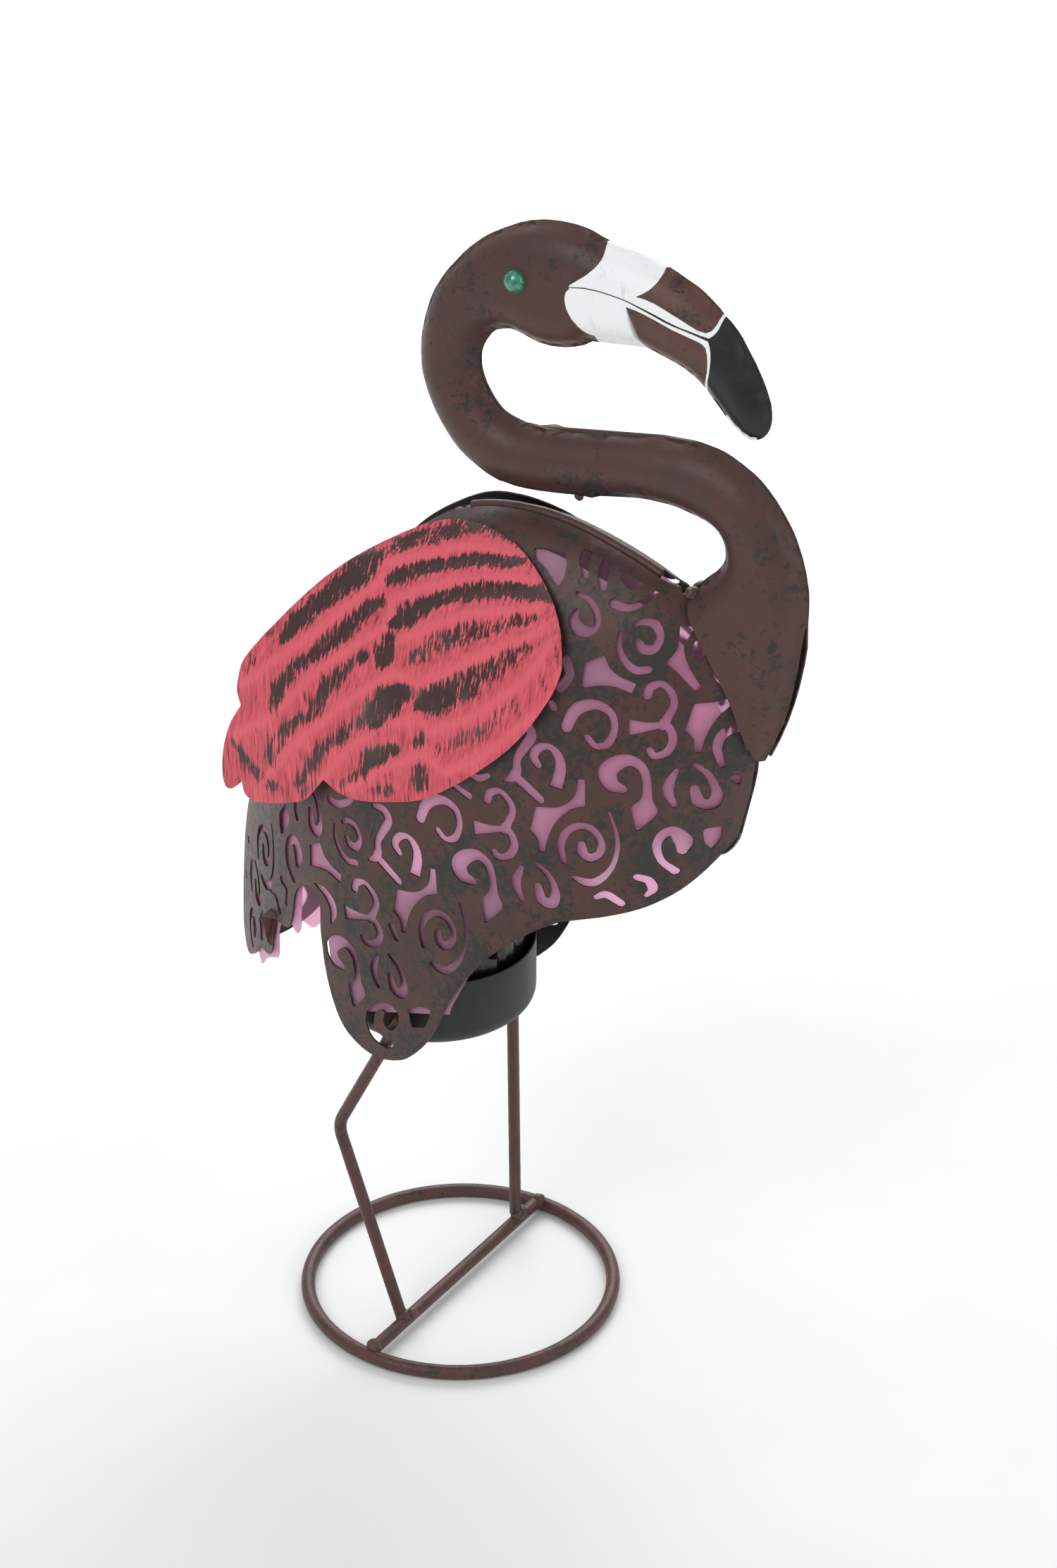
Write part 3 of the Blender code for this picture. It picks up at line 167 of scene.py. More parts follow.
NECK_BACK = (
    (146.6, 485.4), (157.0, 495.0), (162.4, 502.0), (163.2, 508.0), (161.6, 514.0),
    (157.0, 519.6), (148.0, 523.6), (134.0, 526.4), (122.0, 527.0), (110.0, 526.4),
    (96.0, 524.0), (80.0, 521.4), (66.0, 519.6), (50.0, 518.0), (36.0, 518.0), (24.0, 520.0),
    (12.0, 525.6), (3.0, 532.0), (-4.0, 540.0), (-11.0, 550.0), (-16.0, 561.0),
    (-19.2, 572.0), (-19.6, 584.0), (-17.0, 598.0), (-12.0, 612.0), (-5.0, 623.0),
    (1.0, 629.6), (10.0, 639.0), (22.0, 648.0), (36.0, 655.0), (50.0, 659.6), (66.0, 661.0),
    (80.0, 659.6), (91.0, 656.0), (108.0, 652.6), (125.0, 648.0), (134.0, 644.4),
    (145.0, 639.0), (156.0, 630.6), (166.0, 621.0), (175.0, 608.0), (182.0, 595.0),
    (184.6, 586.0), (184.4, 578.0), (181.0, 572.0), (176.0, 569.8), (170.0, 571.6),
    (162.0, 578.0), (150.0, 590.6), (141.0, 597.4), (130.0, 602.0), (115.0, 606.2))
NECK_CHIN = ((115.0, 606.2), (100.0, 605.2), (84.0, 604.0))
NECK_FRONT = (
    (84.0, 604.0), (78.0, 600.8), (70.0, 598.4), (60.0, 597.2), (50.0, 598.4), (43.0, 600.6),
    (35.0, 602.0), (26.0, 599.6), (20.4, 594.4), (17.0, 588.0), (16.2, 582.0), (17.0, 575.0),
    (20.0, 568.0), (25.0, 561.0), (31.0, 556.4), (40.0, 553.4), (50.0, 552.6), (70.0, 555.0),
    (90.0, 557.4), (112.0, 560.0), (128.0, 561.8), (140.0, 562.4), (150.0, 561.4),
    (160.0, 559.4), (170.0, 555.0), (180.0, 549.0), (190.0, 539.0), (198.0, 528.0),
    (203.0, 518.0), (207.0, 506.0), (209.2, 494.0), (209.4, 480.0), (208.0, 460.0),
    (205.0, 442.0), (201.0, 426.0), (196.0, 412.0), (191.0, 400.4))
NECK_HEM = ((187.2, 400.0), (185.0, 407.0), (181.0, 418.6), (173.6, 434.3), (163.6, 450.0),
            (153.6, 465.7), (147.4, 477.0), (146.6, 485.4))

# where the paint changes on the beak
FACE_EDGE = (
    ((96.0, 664.0), (91.9, 655.8), (93.2, 652.4), (93.8, 649.8), (93.0, 647.2), (90.8, 644.3),
     (87.0, 640.9), (81.9, 637.5), (78.1, 634.8)),
    ((78.1, 634.8), (77.4, 633.7), (77.9, 632.7)),
    ((77.9, 632.7), (76.1, 631.0), (75.2, 627.9), (75.8, 623.6), (77.7, 619.6), (80.3, 616.0),
     (83.6, 612.2), (86.6, 610.3), (89.3, 609.8)),
    ((89.3, 609.8), (86.8, 600.0)),
)
UPPER_PATCH = (
    ((132.2, 655.4), (125.3, 648.3), (125.1, 645.7), (124.3, 642.2), (121.7, 638.9),
     (118.3, 636.4), (114.9, 634.6)),
    ((114.9, 634.6), (119.6, 634.0), (125.1, 632.6), (131.3, 630.1), (137.5, 627.3),
     (143.6, 624.6), (148.3, 622.6), (152.2, 621.7)),
    ((152.2, 621.7), (154.6, 622.8), (156.0, 625.4), (156.6, 628.6), (160.2, 638.6)),
    ((160.2, 638.6), (149.0, 651.9), (132.2, 655.4)),
)
LOWER_PATCH = (
    ((109.9, 629.0), (115.8, 606.7)),
    ((115.8, 606.7), (116.3, 601.2)),
    ((116.3, 601.2), (134.3, 595.7), (147.4, 587.4)),
    ((147.4, 587.4), (150.1, 594.0), (153.5, 600.4), (154.6, 606.1), (154.2, 611.1),
     (153.1, 614.8)),
    ((153.1, 614.8), (150.7, 616.7), (146.5, 618.1), (140.4, 619.7), (133.0, 621.9),
     (125.5, 624.7), (116.8, 627.4), (109.9, 629.0)),
)
BLACK_TIP = (
    ((163.3, 639.0), (159.3, 632.0), (157.7, 626.6), (157.2, 623.0), (155.3, 620.4),
     (153.4, 619.0)),
    ((153.4, 619.0), (155.2, 615.0), (156.0, 610.2), (155.7, 604.5), (153.8, 597.6),
     (148.9, 587.2)),
)
MOUTH_LINE = ((77.4, 633.5, 0.5), (86.5, 634.5, 0.6), (94.2, 634.3, 0.6), (101.7, 633.3, 0.6),
              (109.2, 631.9, 0.6), (116.7, 629.6, 0.8), (125.5, 626.8, 1.1), (131.7, 624.6, 1.1),
              (139.1, 622.6, 0.9), (145.1, 621.2, 0.9), (149.8, 619.9, 1.0), (154.6, 618.6, 1.6))

WING_EDGES = (
    ((-104.5, 378.5), (-107.5, 386.0), (-107.0, 394.0), (-102.6, 406.8), (-81.8, 432.2),
     (-54.8, 460.8), (-28.2, 481.2), (3.0, 498.4), (25.8, 502.4), (46.7, 499.5), (63.7, 492.0),
     (80.6, 478.3), (90.4, 464.5), (94.8, 452.0), (96.1, 443.0), (91.8, 428.7), (77.2, 404.9),
     (53.6, 381.9), (24.0, 360.6), (-1.7, 351.4), (-20.8, 347.1), (-34.0, 348.0),
     (-44.2, 352.5)),
    ((-44.2, 352.5), (-50.0, 345.0), (-58.5, 335.6), (-71.0, 330.0), (-84.0, 325.6),
     (-96.8, 322.6), (-104.0, 325.0), (-106.0, 332.0)),
    ((-106.0, 332.0), (-110.0, 328.0), (-115.7, 323.9), (-120.0, 325.4), (-121.4, 335.0),
     (-119.0, 350.0), (-113.1, 365.2), (-104.5, 378.5)),
)
UPPER_QUILLS = (
    ((56.0, 494.0), (44.0, 494.0), (27.0, 492.0), (7.0, 485.0), (-20.0, 475.0)),
    ((70.0, 484.0), (52.0, 482.0), (32.0, 477.0), (12.0, 470.0), (-9.0, 459.0)),
    ((77.0, 472.0), (63.0, 469.0), (43.0, 463.0), (24.0, 455.0), (2.0, 442.0)),
    ((83.0, 463.0), (72.0, 456.0), (55.0, 447.0), (36.0, 435.0), (16.0, 423.0)),
    ((87.0, 455.0), (81.0, 442.0), (66.0, 426.0), (51.0, 413.0), (27.0, 400.0)),
    ((97.0, 443.0), (93.0, 429.0), (81.0, 416.0), (60.0, 395.0), (37.0, 380.0)),
)
LOWER_QUILLS = (
    ((-20.0, 475.0), (-19.0, 467.0), (-35.0, 452.0), (-53.0, 434.0), (-78.0, 413.0),
     (-103.0, 391.0)),
    ((-9.0, 459.0), (-9.0, 447.0), (-24.0, 435.0), (-47.0, 416.0), (-76.0, 385.0),
     (-108.0, 360.0)),
    ((16.0, 423.0), (1.0, 424.0), (-6.0, 420.0), (-26.0, 404.0), (-47.0, 384.0), (-67.0, 364.0),
     (-90.0, 336.0)),
    ((27.0, 400.0), (19.0, 404.0), (4.0, 399.0), (-15.0, 386.0), (-30.0, 371.0), (-46.0, 350.0)),
    ((37.0, 380.0), (28.0, 385.0), (22.0, 386.0), (7.0, 377.0), (-10.0, 366.0), (-24.0, 354.0)),
)
# bare dark patches between the feathers: strength, then a stroke along each (x, z, width)
BARE_PATCHES = (
    (0.80, ((58, 499, 6.2), (44, 503, 7.4), (28, 501, 6.8), (11, 495, 7.4), (-3, 489, 8.0),
            (-16, 482, 7.4))),
    (1.00, ((-22, 477, 7.4), (-31, 470, 16.1), (-38, 462, 13.6), (-48, 454, 11.1),
            (-60, 444, 9.9), (-70, 433, 9.3), (-76, 423, 6.2))),
    (1.00, ((-14, 468, 6.2), (-4, 474, 9.3), (9, 479, 6.8), (22, 483, 6.2), (36, 487, 7.4),
            (49, 489, 6.2), (60, 490, 4.9))),
    (1.00, ((-6, 448, 6.2), (2, 453, 12.4), (15, 462, 7.4), (22, 467, 7.4), (32, 471, 9.3),
            (44, 475, 9.9), (57, 477, 8.7), (71, 478, 7.4), (81, 477, 4.9))),
    (0.55, ((11, 434, 8.7), (20, 443, 9.9), (30, 449, 11.1), (40, 454, 11.1), (52, 458, 9.9),
            (64, 464, 9.9), (76, 467, 6.2))),
    (1.00, ((18, 411, 6.2), (25, 416, 16.1), (35, 422, 14.8))),
    (0.70, ((35, 422, 14.8), (45, 430, 13.6), (54, 437, 11.1), (62, 444, 11.1), (73, 452, 8.7))),
    (0.42, ((30, 391, 7.4), (42, 397, 7.4), (55, 407, 7.4), (67, 418, 7.4), (78, 432, 6.2))),
    (0.85, ((-16, 457, 6.2), (-23, 453, 7.4), (-32, 442, 9.9), (-41, 432, 13.6), (-51, 423, 8.7),
            (-64, 412, 7.4), (-72, 402, 9.9), (-76, 393, 11.1), (-79, 384, 7.4))),
    (1.00, ((-7, 438, 11.1), (-8, 431, 11.1), (-9, 427, 8.7))),
    (0.70, ((-20, 428, 6.2), (-34, 418, 7.4), (-41, 408, 11.1), (-46, 399, 11.1), (-52, 388, 7.4),
            (-67, 378, 6.2), (-78, 364, 11.1), (-81, 353, 8.7))),
    (1.00, ((7, 416, 9.9), (-4, 407, 18.5), (-9, 398, 16.1))),
    (0.60, ((-18, 392, 9.9), (-34, 378, 7.4), (-45, 371, 7.4), (-52, 358, 8.7), (-63, 344, 6.2))),
    (0.70, ((21, 394, 9.9), (17, 390, 7.4))),
    (1.00, ((4, 384, 7.4), (-2, 380, 9.9), (-11, 374, 13.6), (-14, 367, 9.9))),
    (0.60, ((-14, 367, 7.4), (-31, 353, 4.9))),
    (0.80, ((21, 377, 7.4), (21, 369, 9.9))),
    (0.50, ((1, 360, 7.4), (-12, 355, 4.9))),
    (0.50, ((-97, 408, 4.9), (-101, 399, 3.7))),
    (0.60, ((-110, 355, 4.9), (-98, 344, 7.4), (-88, 338, 9.9), (-79, 338, 6.2))),
    (0.55, ((-48, 348, 6.2), (-60, 340, 4.9))),
)

# scroll cut-outs, each a few brush strokes (x, z, width) about its own centre
THREE = (
    ((-6.9, 12.6, 4.2), (-5.7, 17.1, 4.2), (-0.7, 18.9, 3.4), (4.3, 14.3, 3.6), (6.1, 8.6, 3.6),
     (4.0, 2.1, 4.2), (2.6, -2.4, 4.6)),
    ((2.6, 0.0, 4.2), (6.4, -5.0, 4.0), (7.6, -10.7, 4.0), (5.0, -16.4, 4.2), (0.0, -18.3, 3.8),
     (-2.4, -15.4, 3.4)),
    ((3.6, -1.2, 3.0), (-4.3, -3.1, 4.6), (-13.4, -4.3, 8.6)),
)
HOOK = (
    ((-1.2, -4.6, 5.0), (-6.4, -2.4, 8.0), (-8.9, 3.6, 9.2), (-5.0, 9.0, 8.4), (1.4, 11.4, 6.3),
     (7.4, 7.9, 5.0), (10.0, 0.7, 4.2), (10.4, -9.0, 5.0), (9.3, -16.4, 12.0), (6.3, -27.1, 2.2)),
)
CRESCENT_JAY = (
    ((-6.9, 10.0, 2.4), (-9.7, 2.9, 4.6), (-10.0, -2.9, 4.6), (-7.4, -10.0, 2.6)),
    ((1.1, 12.9, 2.6), (6.4, 7.9, 3.2), (9.6, 0.0, 3.6), (10.0, -5.7, 5.0), (7.6, -10.0, 6.4),
     (2.9, -7.9, 5.6), (1.1, 0.0, 3.8)),
)
SPIRAL = (
    ((-0.7, 0.4, 3.8), (-0.4, -4.6, 5.2), (2.9, -7.6, 5.4), (7.6, -4.3, 4.0), (8.6, 2.9, 3.4),
     (4.3, 9.6, 4.2), (-2.1, 10.9, 4.2), (-8.6, 6.4, 4.0), (-11.1, -1.4, 3.6),
     (-10.0, -11.1, 3.0)),
    ((12.4, 20.0, 1.6), (15.7, 8.6, 2.0), (16.0, -1.4, 2.2), (12.9, -12.9, 2.8),
     (6.4, -21.4, 4.6), (0.7, -22.9, 5.0), (-5.0, -20.7, 3.0)),
)
COMMA = (
    ((4.3, -7.1, 4.6), (5.0, -0.7, 8.4), (1.4, 5.7, 6.5), (-4.3, 2.9, 5.0), (-6.9, -4.3, 4.0),
     (-5.0, -12.9, 3.8), (1.0, -19.0, 4.4)),
)
RING_SCROLL = (
    ((-12.9, -2.6, 6.0), (-10.7, 4.3, 6.5), (-6.4, 9.0, 6.5), (1.4, 10.7, 5.0), (8.6, 7.1, 4.0),
     (11.1, -0.7, 3.8), (8.6, -8.6, 4.0), (2.9, -10.7, 3.4), (-1.7, -6.7, 3.6)),
)
GEE = (
    ((-5.0, -0.7, 3.8), (-7.9, 3.6, 5.0), (-5.7, 8.4, 4.6), (0.0, 10.0, 3.6), (5.0, 5.7, 5.0),
     (6.7, -1.5, 6.0), (5.0, -11.4, 6.6)),
)
TALL_WYE = (
    ((-5.6, 20.6, 3.0), (1.4, 20.3, 5.0), (5.0, 15.0, 5.5), (1.4, 7.9, 5.5), (-1.7, 1.4, 4.6),
     (-1.4, -5.0, 5.4), (-2.6, -9.0, 7.0)),
    ((-0.4, -3.6, 3.4), (-3.4, -9.0, 5.0), (-7.6, -11.6, 1.6)),
    ((-3.0, -7.4, 5.0), (4.3, -12.4, 5.0), (12.4, -18.6, 4.4)),
)
CEE = (
    ((-4.3, -2.1, 3.2), (-1.4, -5.4, 4.6), (3.6, -5.0, 4.6), (5.4, 0.7, 3.6), (1.4, 6.4, 3.8),
     (-4.3, 7.4, 3.4), (-7.4, 5.9, 2.6)),
    ((-13.9, 1.4, 2.0), (-12.9, -5.7, 3.0), (-8.6, -12.1, 3.6), (-2.9, -15.7, 4.0),
     (3.1, -15.0, 3.8)),
)
CURL = (
    ((-7.0, 9.6, 2.0), (-1.5, 8.2, 2.6), (3.2, 4.6, 3.2), (6.4, 0.0, 3.4), (6.6, -4.4, 3.8),
     (3.2, -7.0, 4.8), (-1.8, -6.2, 6.0), (-5.4, -2.6, 5.4), (-5.0, 1.6, 3.0)),
)
JAY = (CRESCENT_JAY[1],)
LEAF = (((-7.8, 6.9, 1.5), (0.0, 6.1, 5.0), (6.5, 1.1, 6.5), (7.9, -5.3, 5.0), (5.8, -11.7, 1.5)),)
# cut-outs drawn by their corners and curved sides
SPLAY = (
    ((9.7, 21.6), (8.3, 11.4), (1.0, 4.8), (-11.4, 2.9)),
    ((-11.4, 2.9), (-14.0, -11.1)),
    ((-14.0, -11.1), (-10.0, -15.4), (-8.9, -22.6)),
    ((-8.9, -22.6), (-6.0, -22.6)),
    ((-6.0, -22.6), (-4.6, -14.0), (-1.0, -5.0), (5.7, 3.1), (14.1, 6.7)),
    ((14.1, 6.7), (13.1, 21.4)),
    ((13.1, 21.4), (9.7, 21.6)),
)
AXE = (
    ((-10.7, 1.4), (-1.4, 6.7)),
    ((-1.4, 6.7), (2.4, 0.6), (8.6, -3.4), (16.4, -6.0)),
    ((16.4, -6.0), (15.0, -11.2)),
    ((15.0, -11.2), (6.0, -8.6), (-2.0, -9.0), (-10.3, -11.0)),
    ((-10.3, -11.0), (-10.7, 1.4)),
)
DIAMOND = (
    ((1.0, 11.0), (4.6, 5.0)),
    ((4.6, 5.0), (4.0, -3.0), (0.0, -11.0)),
    ((0.0, -11.0), (-2.6, -10.0)),
    ((-2.6, -10.0), (-3.4, -3.0), (-5.0, 0.6)),
    ((-5.0, 0.6), (1.0, 11.0)),
)
HALF_DISC = (
    ((-6.3, 4.6), (6.6, 1.1)),
    ((6.6, 1.1), (4.8, -3.0), (1.0, -4.2), (-4.0, -1.6), (-7.1, 2.7), (-6.3, 4.6)),
)
FORK = (
    ((0.9, 13.4), (-0.8, 5.5), (3.2, -4.0), (10.2, -13.4)),
    ((10.2, -13.4), (7.8, -15.6)),
    ((7.8, -15.6), (-1.2, -7.0), (-6.9, -2.7)),
    ((-6.9, -2.7), (-6.7, -1.2)),
    ((-6.7, -1.2), (-3.6, 5.3), (-5.2, 15.0)),
    ((-5.2, 15.0), (0.3, 14.9)),
    ((0.3, 14.9), (0.9, 13.4)),
)
# motif, centre x, centre z, stretch along x
SCROLLS = (
    (THREE, 143.5, 421.5, 1.0), (THREE, 67.4, 354.5, 1.11), (THREE, -14.9, 280.2, 1.19),
    (HOOK, 130.7, 388.6, 1.0), (HOOK, 53.5, 323.3, 1.0), (HOOK, -33.5, 244.5, 1.0),
    (CRESCENT_JAY, 160.7, 385.7, 1.0), (CRESCENT_JAY, 86.7, 322.3, 1.0),
    (CRESCENT_JAY, -1.0, 246.3, 1.0), (CRESCENT_JAY, -127.9, 246.4, 0.72),
    (SPIRAL, 111.4, 350.0, 1.0), (SPIRAL, 32.5, 283.0, 1.0), (SPIRAL, -113.0, 276.5, 0.85),
    (COMMA, 151.4, 354.3, 0.95), (COMMA, -76.4, 295.0, 1.0), (COMMA, -133.6, 216.4, 0.7),
    (RING_SCROLL, 112.1, 416.4, 1.0), (RING_SCROLL, 33.4, 350.5, 1.0),
    (GEE, 91.4, 392.1, 1.0), (GEE, 12.7, 325.0, 1.0),
    (TALL_WYE, 76.4, 391.4, 1.0), (TALL_WYE, -5.0, 325.7, 1.0), (FORK, 150.0, 453.0, 1.0),
    (CEE, 132.1, 462.1, 1.0), (CEE, -25.0, 324.0, 1.0), (JAY, -61.5, 325.5, 1.0),
    (LEAF, -47.9, 276.0, 1.0),
    (SPLAY, 97.9, 365.7, 1.0), (SPLAY, 170.0, 428.3, 1.0), (SPLAY, 17.5, 299.0, 1.0),
    (AXE, 114.3, 445.7, 1.0), (AXE, -49.3, 303.6, 1.0),
    (DIAMOND, -118.0, 223.6, 0.9),
    (HALF_DISC, 116.0, 487.0, 1.0), (CURL, 99.0, 469.0, 1.0),
    # under the wing
    (THREE, 20.0, 470.0, 1.0), (THREE, -58.0, 405.0, 1.0), (HOOK, 4.0, 436.0, 1.0),
    (HOOK, -72.0, 370.0, 1.0), (CRESCENT_JAY, 34.0, 435.0, 1.0), (SPIRAL, -17.0, 400.0, 1.0),
    (RING_SCROLL, 62.0, 452.0, 1.0), (RING_SCROLL, -42.0, 366.0, 1.0),
    (GEE, 52.0, 402.0, 1.0), (SPLAY, -20.0, 440.0, 1.0),
)
# single strokes where a scroll meets the panel's edge
STROKES = (
    ((-44.3, 338.6, 4.0), (-37.9, 337.9, 4.5), (-30.7, 341.4, 4.0), (-26.4, 345.0, 3.0)),
    ((-75.7, 325.0, 3.0), (-75.0, 319.3, 3.5), (-72.9, 315.0, 3.0)),
    ((2.1, 278.6, 4.0), (5.3, 271.4, 4.0)),
    ((-89.3, 269.3, 5.0), (-83.6, 265.7, 4.0), (-85.0, 256.4, 3.0)),
    ((-104.3, 254.3, 3.0), (-97.9, 255.0, 3.5), (-92.9, 247.1, 3.5)),
    ((177.1, 417.9, 5.0), (172.1, 415.0, 5.0), (170.3, 407.9, 4.0), (172.7, 397.9, 2.4)),
    ((177.6, 390.4, 3.2), (179.2, 388.0, 3.2)),
    ((136.0, 331.6, 4.3), (140.8, 329.8, 4.6), (142.9, 324.8, 4.6), (140.3, 321.0, 2.5)),
    ((117.0, 318.6, 3.2), (121.7, 320.5, 4.6), (128.7, 315.9, 4.0)),
    ((110.7, 476.4, 4.0), (119.3, 475.0, 3.6), (126.4, 478.6, 3.0), (130.0, 482.9, 2.0)),
    ((94.3, 447.1, 5.0), (97.1, 440.0, 5.0), (93.6, 432.9, 5.0)),
    ((90.0, 424.4, 4.0), (91.4, 422.8, 4.0)),
    ((46.4, 380.7, 3.0), (53.6, 377.9, 4.0), (59.3, 380.7, 3.0)),
    ((37.9, 372.1, 3.0), (49.3, 367.1, 4.0)),
    ((-101.0, 317.4, 3.4), (-100.4, 315.4, 3.4)),
    ((-140.4, 265.6, 3.4), (-139.6, 264.2, 3.4)), ((-145.4, 241.0, 2.0), (-144.6, 237.0, 1.6)),
)
# windows where the pattern meets the panel's edge or a seam, by their corners
PATCHES = (
    ((-86.4, 317.9), (-81.4, 312.1), (-82.1, 306.4), (-90.7, 295.7), (-93.6, 307.9)),
    ((-18.4, 215.1), (-19.2, 208.9), (-17.2, 202.6), (-14.3, 198.9), (-9.0, 196.6), (-5.4, 195.8),
     (-1.6, 198.0), (-0.2, 202.7), (-5.5, 202.6), (-10.8, 204.9), (-14.3, 206.6), (-12.9, 211.3),
     (-12.4, 216.2), (-10.6, 219.4), (-7.2, 221.3), (-5.1, 220.4), (-6.1, 217.1), (-6.6, 214.1),
     (-5.5, 210.9), (-2.6, 209.3), (0.5, 210.6), (3.4, 214.5), (4.4, 218.4), (4.3, 222.4),
     (2.0, 225.1), (-1.4, 227.2), (-6.8, 226.5), (-12.5, 223.1), (-17.3, 217.6)),
    ((10.2, 227.4), (13.9, 229.1), (18.7, 231.9), (23.3, 232.6), (25.7, 231.7), (25.1, 227.7),
     (22.1, 219.2), (12.7, 216.2), (11.4, 219.5), (11.3, 223.3)),
    ((88.5, 499.5), (93.9, 498.0), (92.9, 495.8), (91.8, 493.9), (92.4, 491.5), (95.0, 485.9),
     (92.1, 485.0), (90.2, 488.2), (87.1, 492.5), (86.3, 494.6)),
    ((99.4, 496.1), (105.7, 494.4), (104.7, 492.6), (104.0, 489.4), (104.9, 485.5), (105.9, 481.4),
     (102.9, 480.6), (100.2, 484.6), (98.4, 489.0), (98.2, 492.2)),
    ((62.0, 494.7), (67.7, 495.2), (73.1, 495.1), (78.8, 494.5), (81.6, 490.9), (83.0, 485.3),
     (81.9, 481.1), (79.5, 480.6), (74.7, 484.2), (69.6, 488.3), (63.9, 490.8)),
    ((155.0, 463.6), (159.0, 458.6), (158.1, 451.1), (152.9, 455.7), (152.9, 460.7)),
    ((164.9, 449.0), (169.3, 443.2), (168.5, 440.0), (163.5, 445.2)),
    ((164.3, 360.7), (172.1, 361.4), (170.7, 352.9), (167.1, 346.9), (164.3, 351.4)),
)


# curves and outlines

def curve_through(points, steps=8):
    """A smooth Catmull-Rom curve through points of any dimension."""
    points = np.asarray(points, float)
    if len(points) == 2:
        return points
    padded = np.vstack([2 * points[0] - points[1], points, 2 * points[-1] - points[-2]])
    out = []
    for i in range(len(padded) - 3):
        a, b, c, d = padded[i:i + 4]
        for t in np.arange(steps) / steps:
            out.append(0.5 * (2 * b + (c - a) * t + (2 * a - 5 * b + 4 * c - d) * t ** 2
                              + (3 * b - a - 3 * c + d) * t ** 3))
    out.append(points[-1])
    return np.array(out)


def thin_out(points, tolerance):
    """Drop the points that a straight line stands for within the tolerance."""
    keep = [0, len(points) - 1]
    stack = [(0, len(points) - 1)]
    while stack:
        first, last = stack.pop()
        if last - first < 2:
            continue
        chord = points[last] - points[first]
        away = points[first + 1:last] - points[first]
        length = max(np.hypot(*chord), 1e-9)
        off = np.abs(away[:, 0] * chord[1] - away[:, 1] * chord[0]) / length
        if length < 1e-6:
            off = np.hypot(away[:, 0], away[:, 1])
        worst = int(off.argmax())
        if off[worst] > tolerance:
            middle = first + 1 + worst
            keep.append(middle)
            stack += [(first, middle), (middle, last)]
    return points[sorted(keep)]


def edge_from_runs(runs, tolerance=FINE):
    """A closed outline from smooth runs that meet at corners."""
    out = []
    for run in runs:
        out.extend(thin_out(curve_through(run), tolerance)[:-1])
    return np.array(out)


def line_from_runs(runs, tolerance=FINE):
    """An open line from smooth runs that meet at corners."""
    out = [thin_out(curve_through(run), tolerance)[:-1] for run in runs]
    return np.vstack([*out, [runs[-1][-1]]])


def brush_stroke(points, tolerance=FINE):
    """The outline of a stroke whose centre line and width are given, with round ends."""
    path = curve_through(points, steps=9)
    along = np.gradient(path[:, :2], axis=0)
    along /= np.hypot(along[:, 0], along[:, 1])[:, None]
    across = np.column_stack([-along[:, 1], along[:, 0]])
    half = path[:, 2:3] / 2
    left = thin_out(path[:, :2] + across * half, tolerance)
    right = thin_out(path[:, :2] - across * half, tolerance)
    turn = np.radians(np.arange(30, 180, 30))[:, None]
    tail = path[0, :2] + half[0] * (-across[0] * np.cos(turn) - along[0] * np.sin(turn))
    shape = [left]
    if half[-1, 0] < 2.6:
        shape.append(path[-1, :2] + half[-1] * (across[-1] * np.cos(turn)
                                                + along[-1] * np.sin(turn)))
    shape += [right[::-1], tail]
    return np.vstack(shape)


def rounded_corners(corners, cut=0.22):
    """A straight-sided outline with its corners cut a little round."""
    corners = np.asarray(corners, float)
    before = np.roll(corners, 1, axis=0)
    after = np.roll(corners, -1, axis=0)
    out = []
    for a, b, c in zip(before, corners, after):
        start, end = b + (a - b) * cut, b + (c - b) * cut
        out += [start, (start + 2 * b + end) / 4, end]
    return np.array(out)


def cut_outs():
    """Every scroll's outline in the side view."""
    shapes = []
    for motif, x, z, stretch in SCROLLS:
        if len(motif[0][0]) == 3:
            outlines = [brush_stroke(stroke) for stroke in motif]
        else:
            outlines = [edge_from_runs(motif)]
        for outline in outlines:
            shapes.append(outline * (stretch, 1.0) + (x, z))
    shapes += [brush_stroke(stroke) for stroke in STROKES]
    shapes += [rounded_corners(patch) for patch in PATCHES]
    return shapes


def winds_round(points, outline):
    """Whether each point lies inside a closed outline that may cross itself."""
    inside = np.zeros(len(points), bool)
    low, high = outline.min(0), outline.max(0)
    near = np.flatnonzero(((points > low) & (points < high)).all(1))
    x0, z0 = outline[:, 0], outline[:, 1]
    x1, z1 = np.roll(x0, -1), np.roll(z0, -1)
    for block in np.array_split(near, max(1, len(near) // 4000)):
        x, z = points[block, 0][:, None], points[block, 1][:, None]
        side = (x1 - x0) * (z - z0) - (x - x0) * (z1 - z0)
        up = (z0 <= z) & (z1 > z) & (side > 0)
        down = (z0 > z) & (z1 <= z) & (side < 0)
        inside[block] = (up.sum(1) - down.sum(1)) != 0
    return inside


def distance_to(points, line):
    """Distance from each point to a polyline."""
    start, end = line[:-1], line[1:]
    span = end - start
    length = np.maximum((span ** 2).sum(1), 1e-12)
    out = []
    for block in np.array_split(np.asarray(points), max(1, len(points) // 2000)):
        away = block[:, None, :] - start
        share = np.clip((away * span).sum(2) / length, 0.0, 1.0)
        off = away - share[:, :, None] * span
        out.append(np.hypot(off[:, :, 0], off[:, :, 1]).min(1))
    return np.concatenate(out)


def closed_line(outline):
    """An outline with its first point again at the end."""
    return np.vstack([outline, outline[:1]])


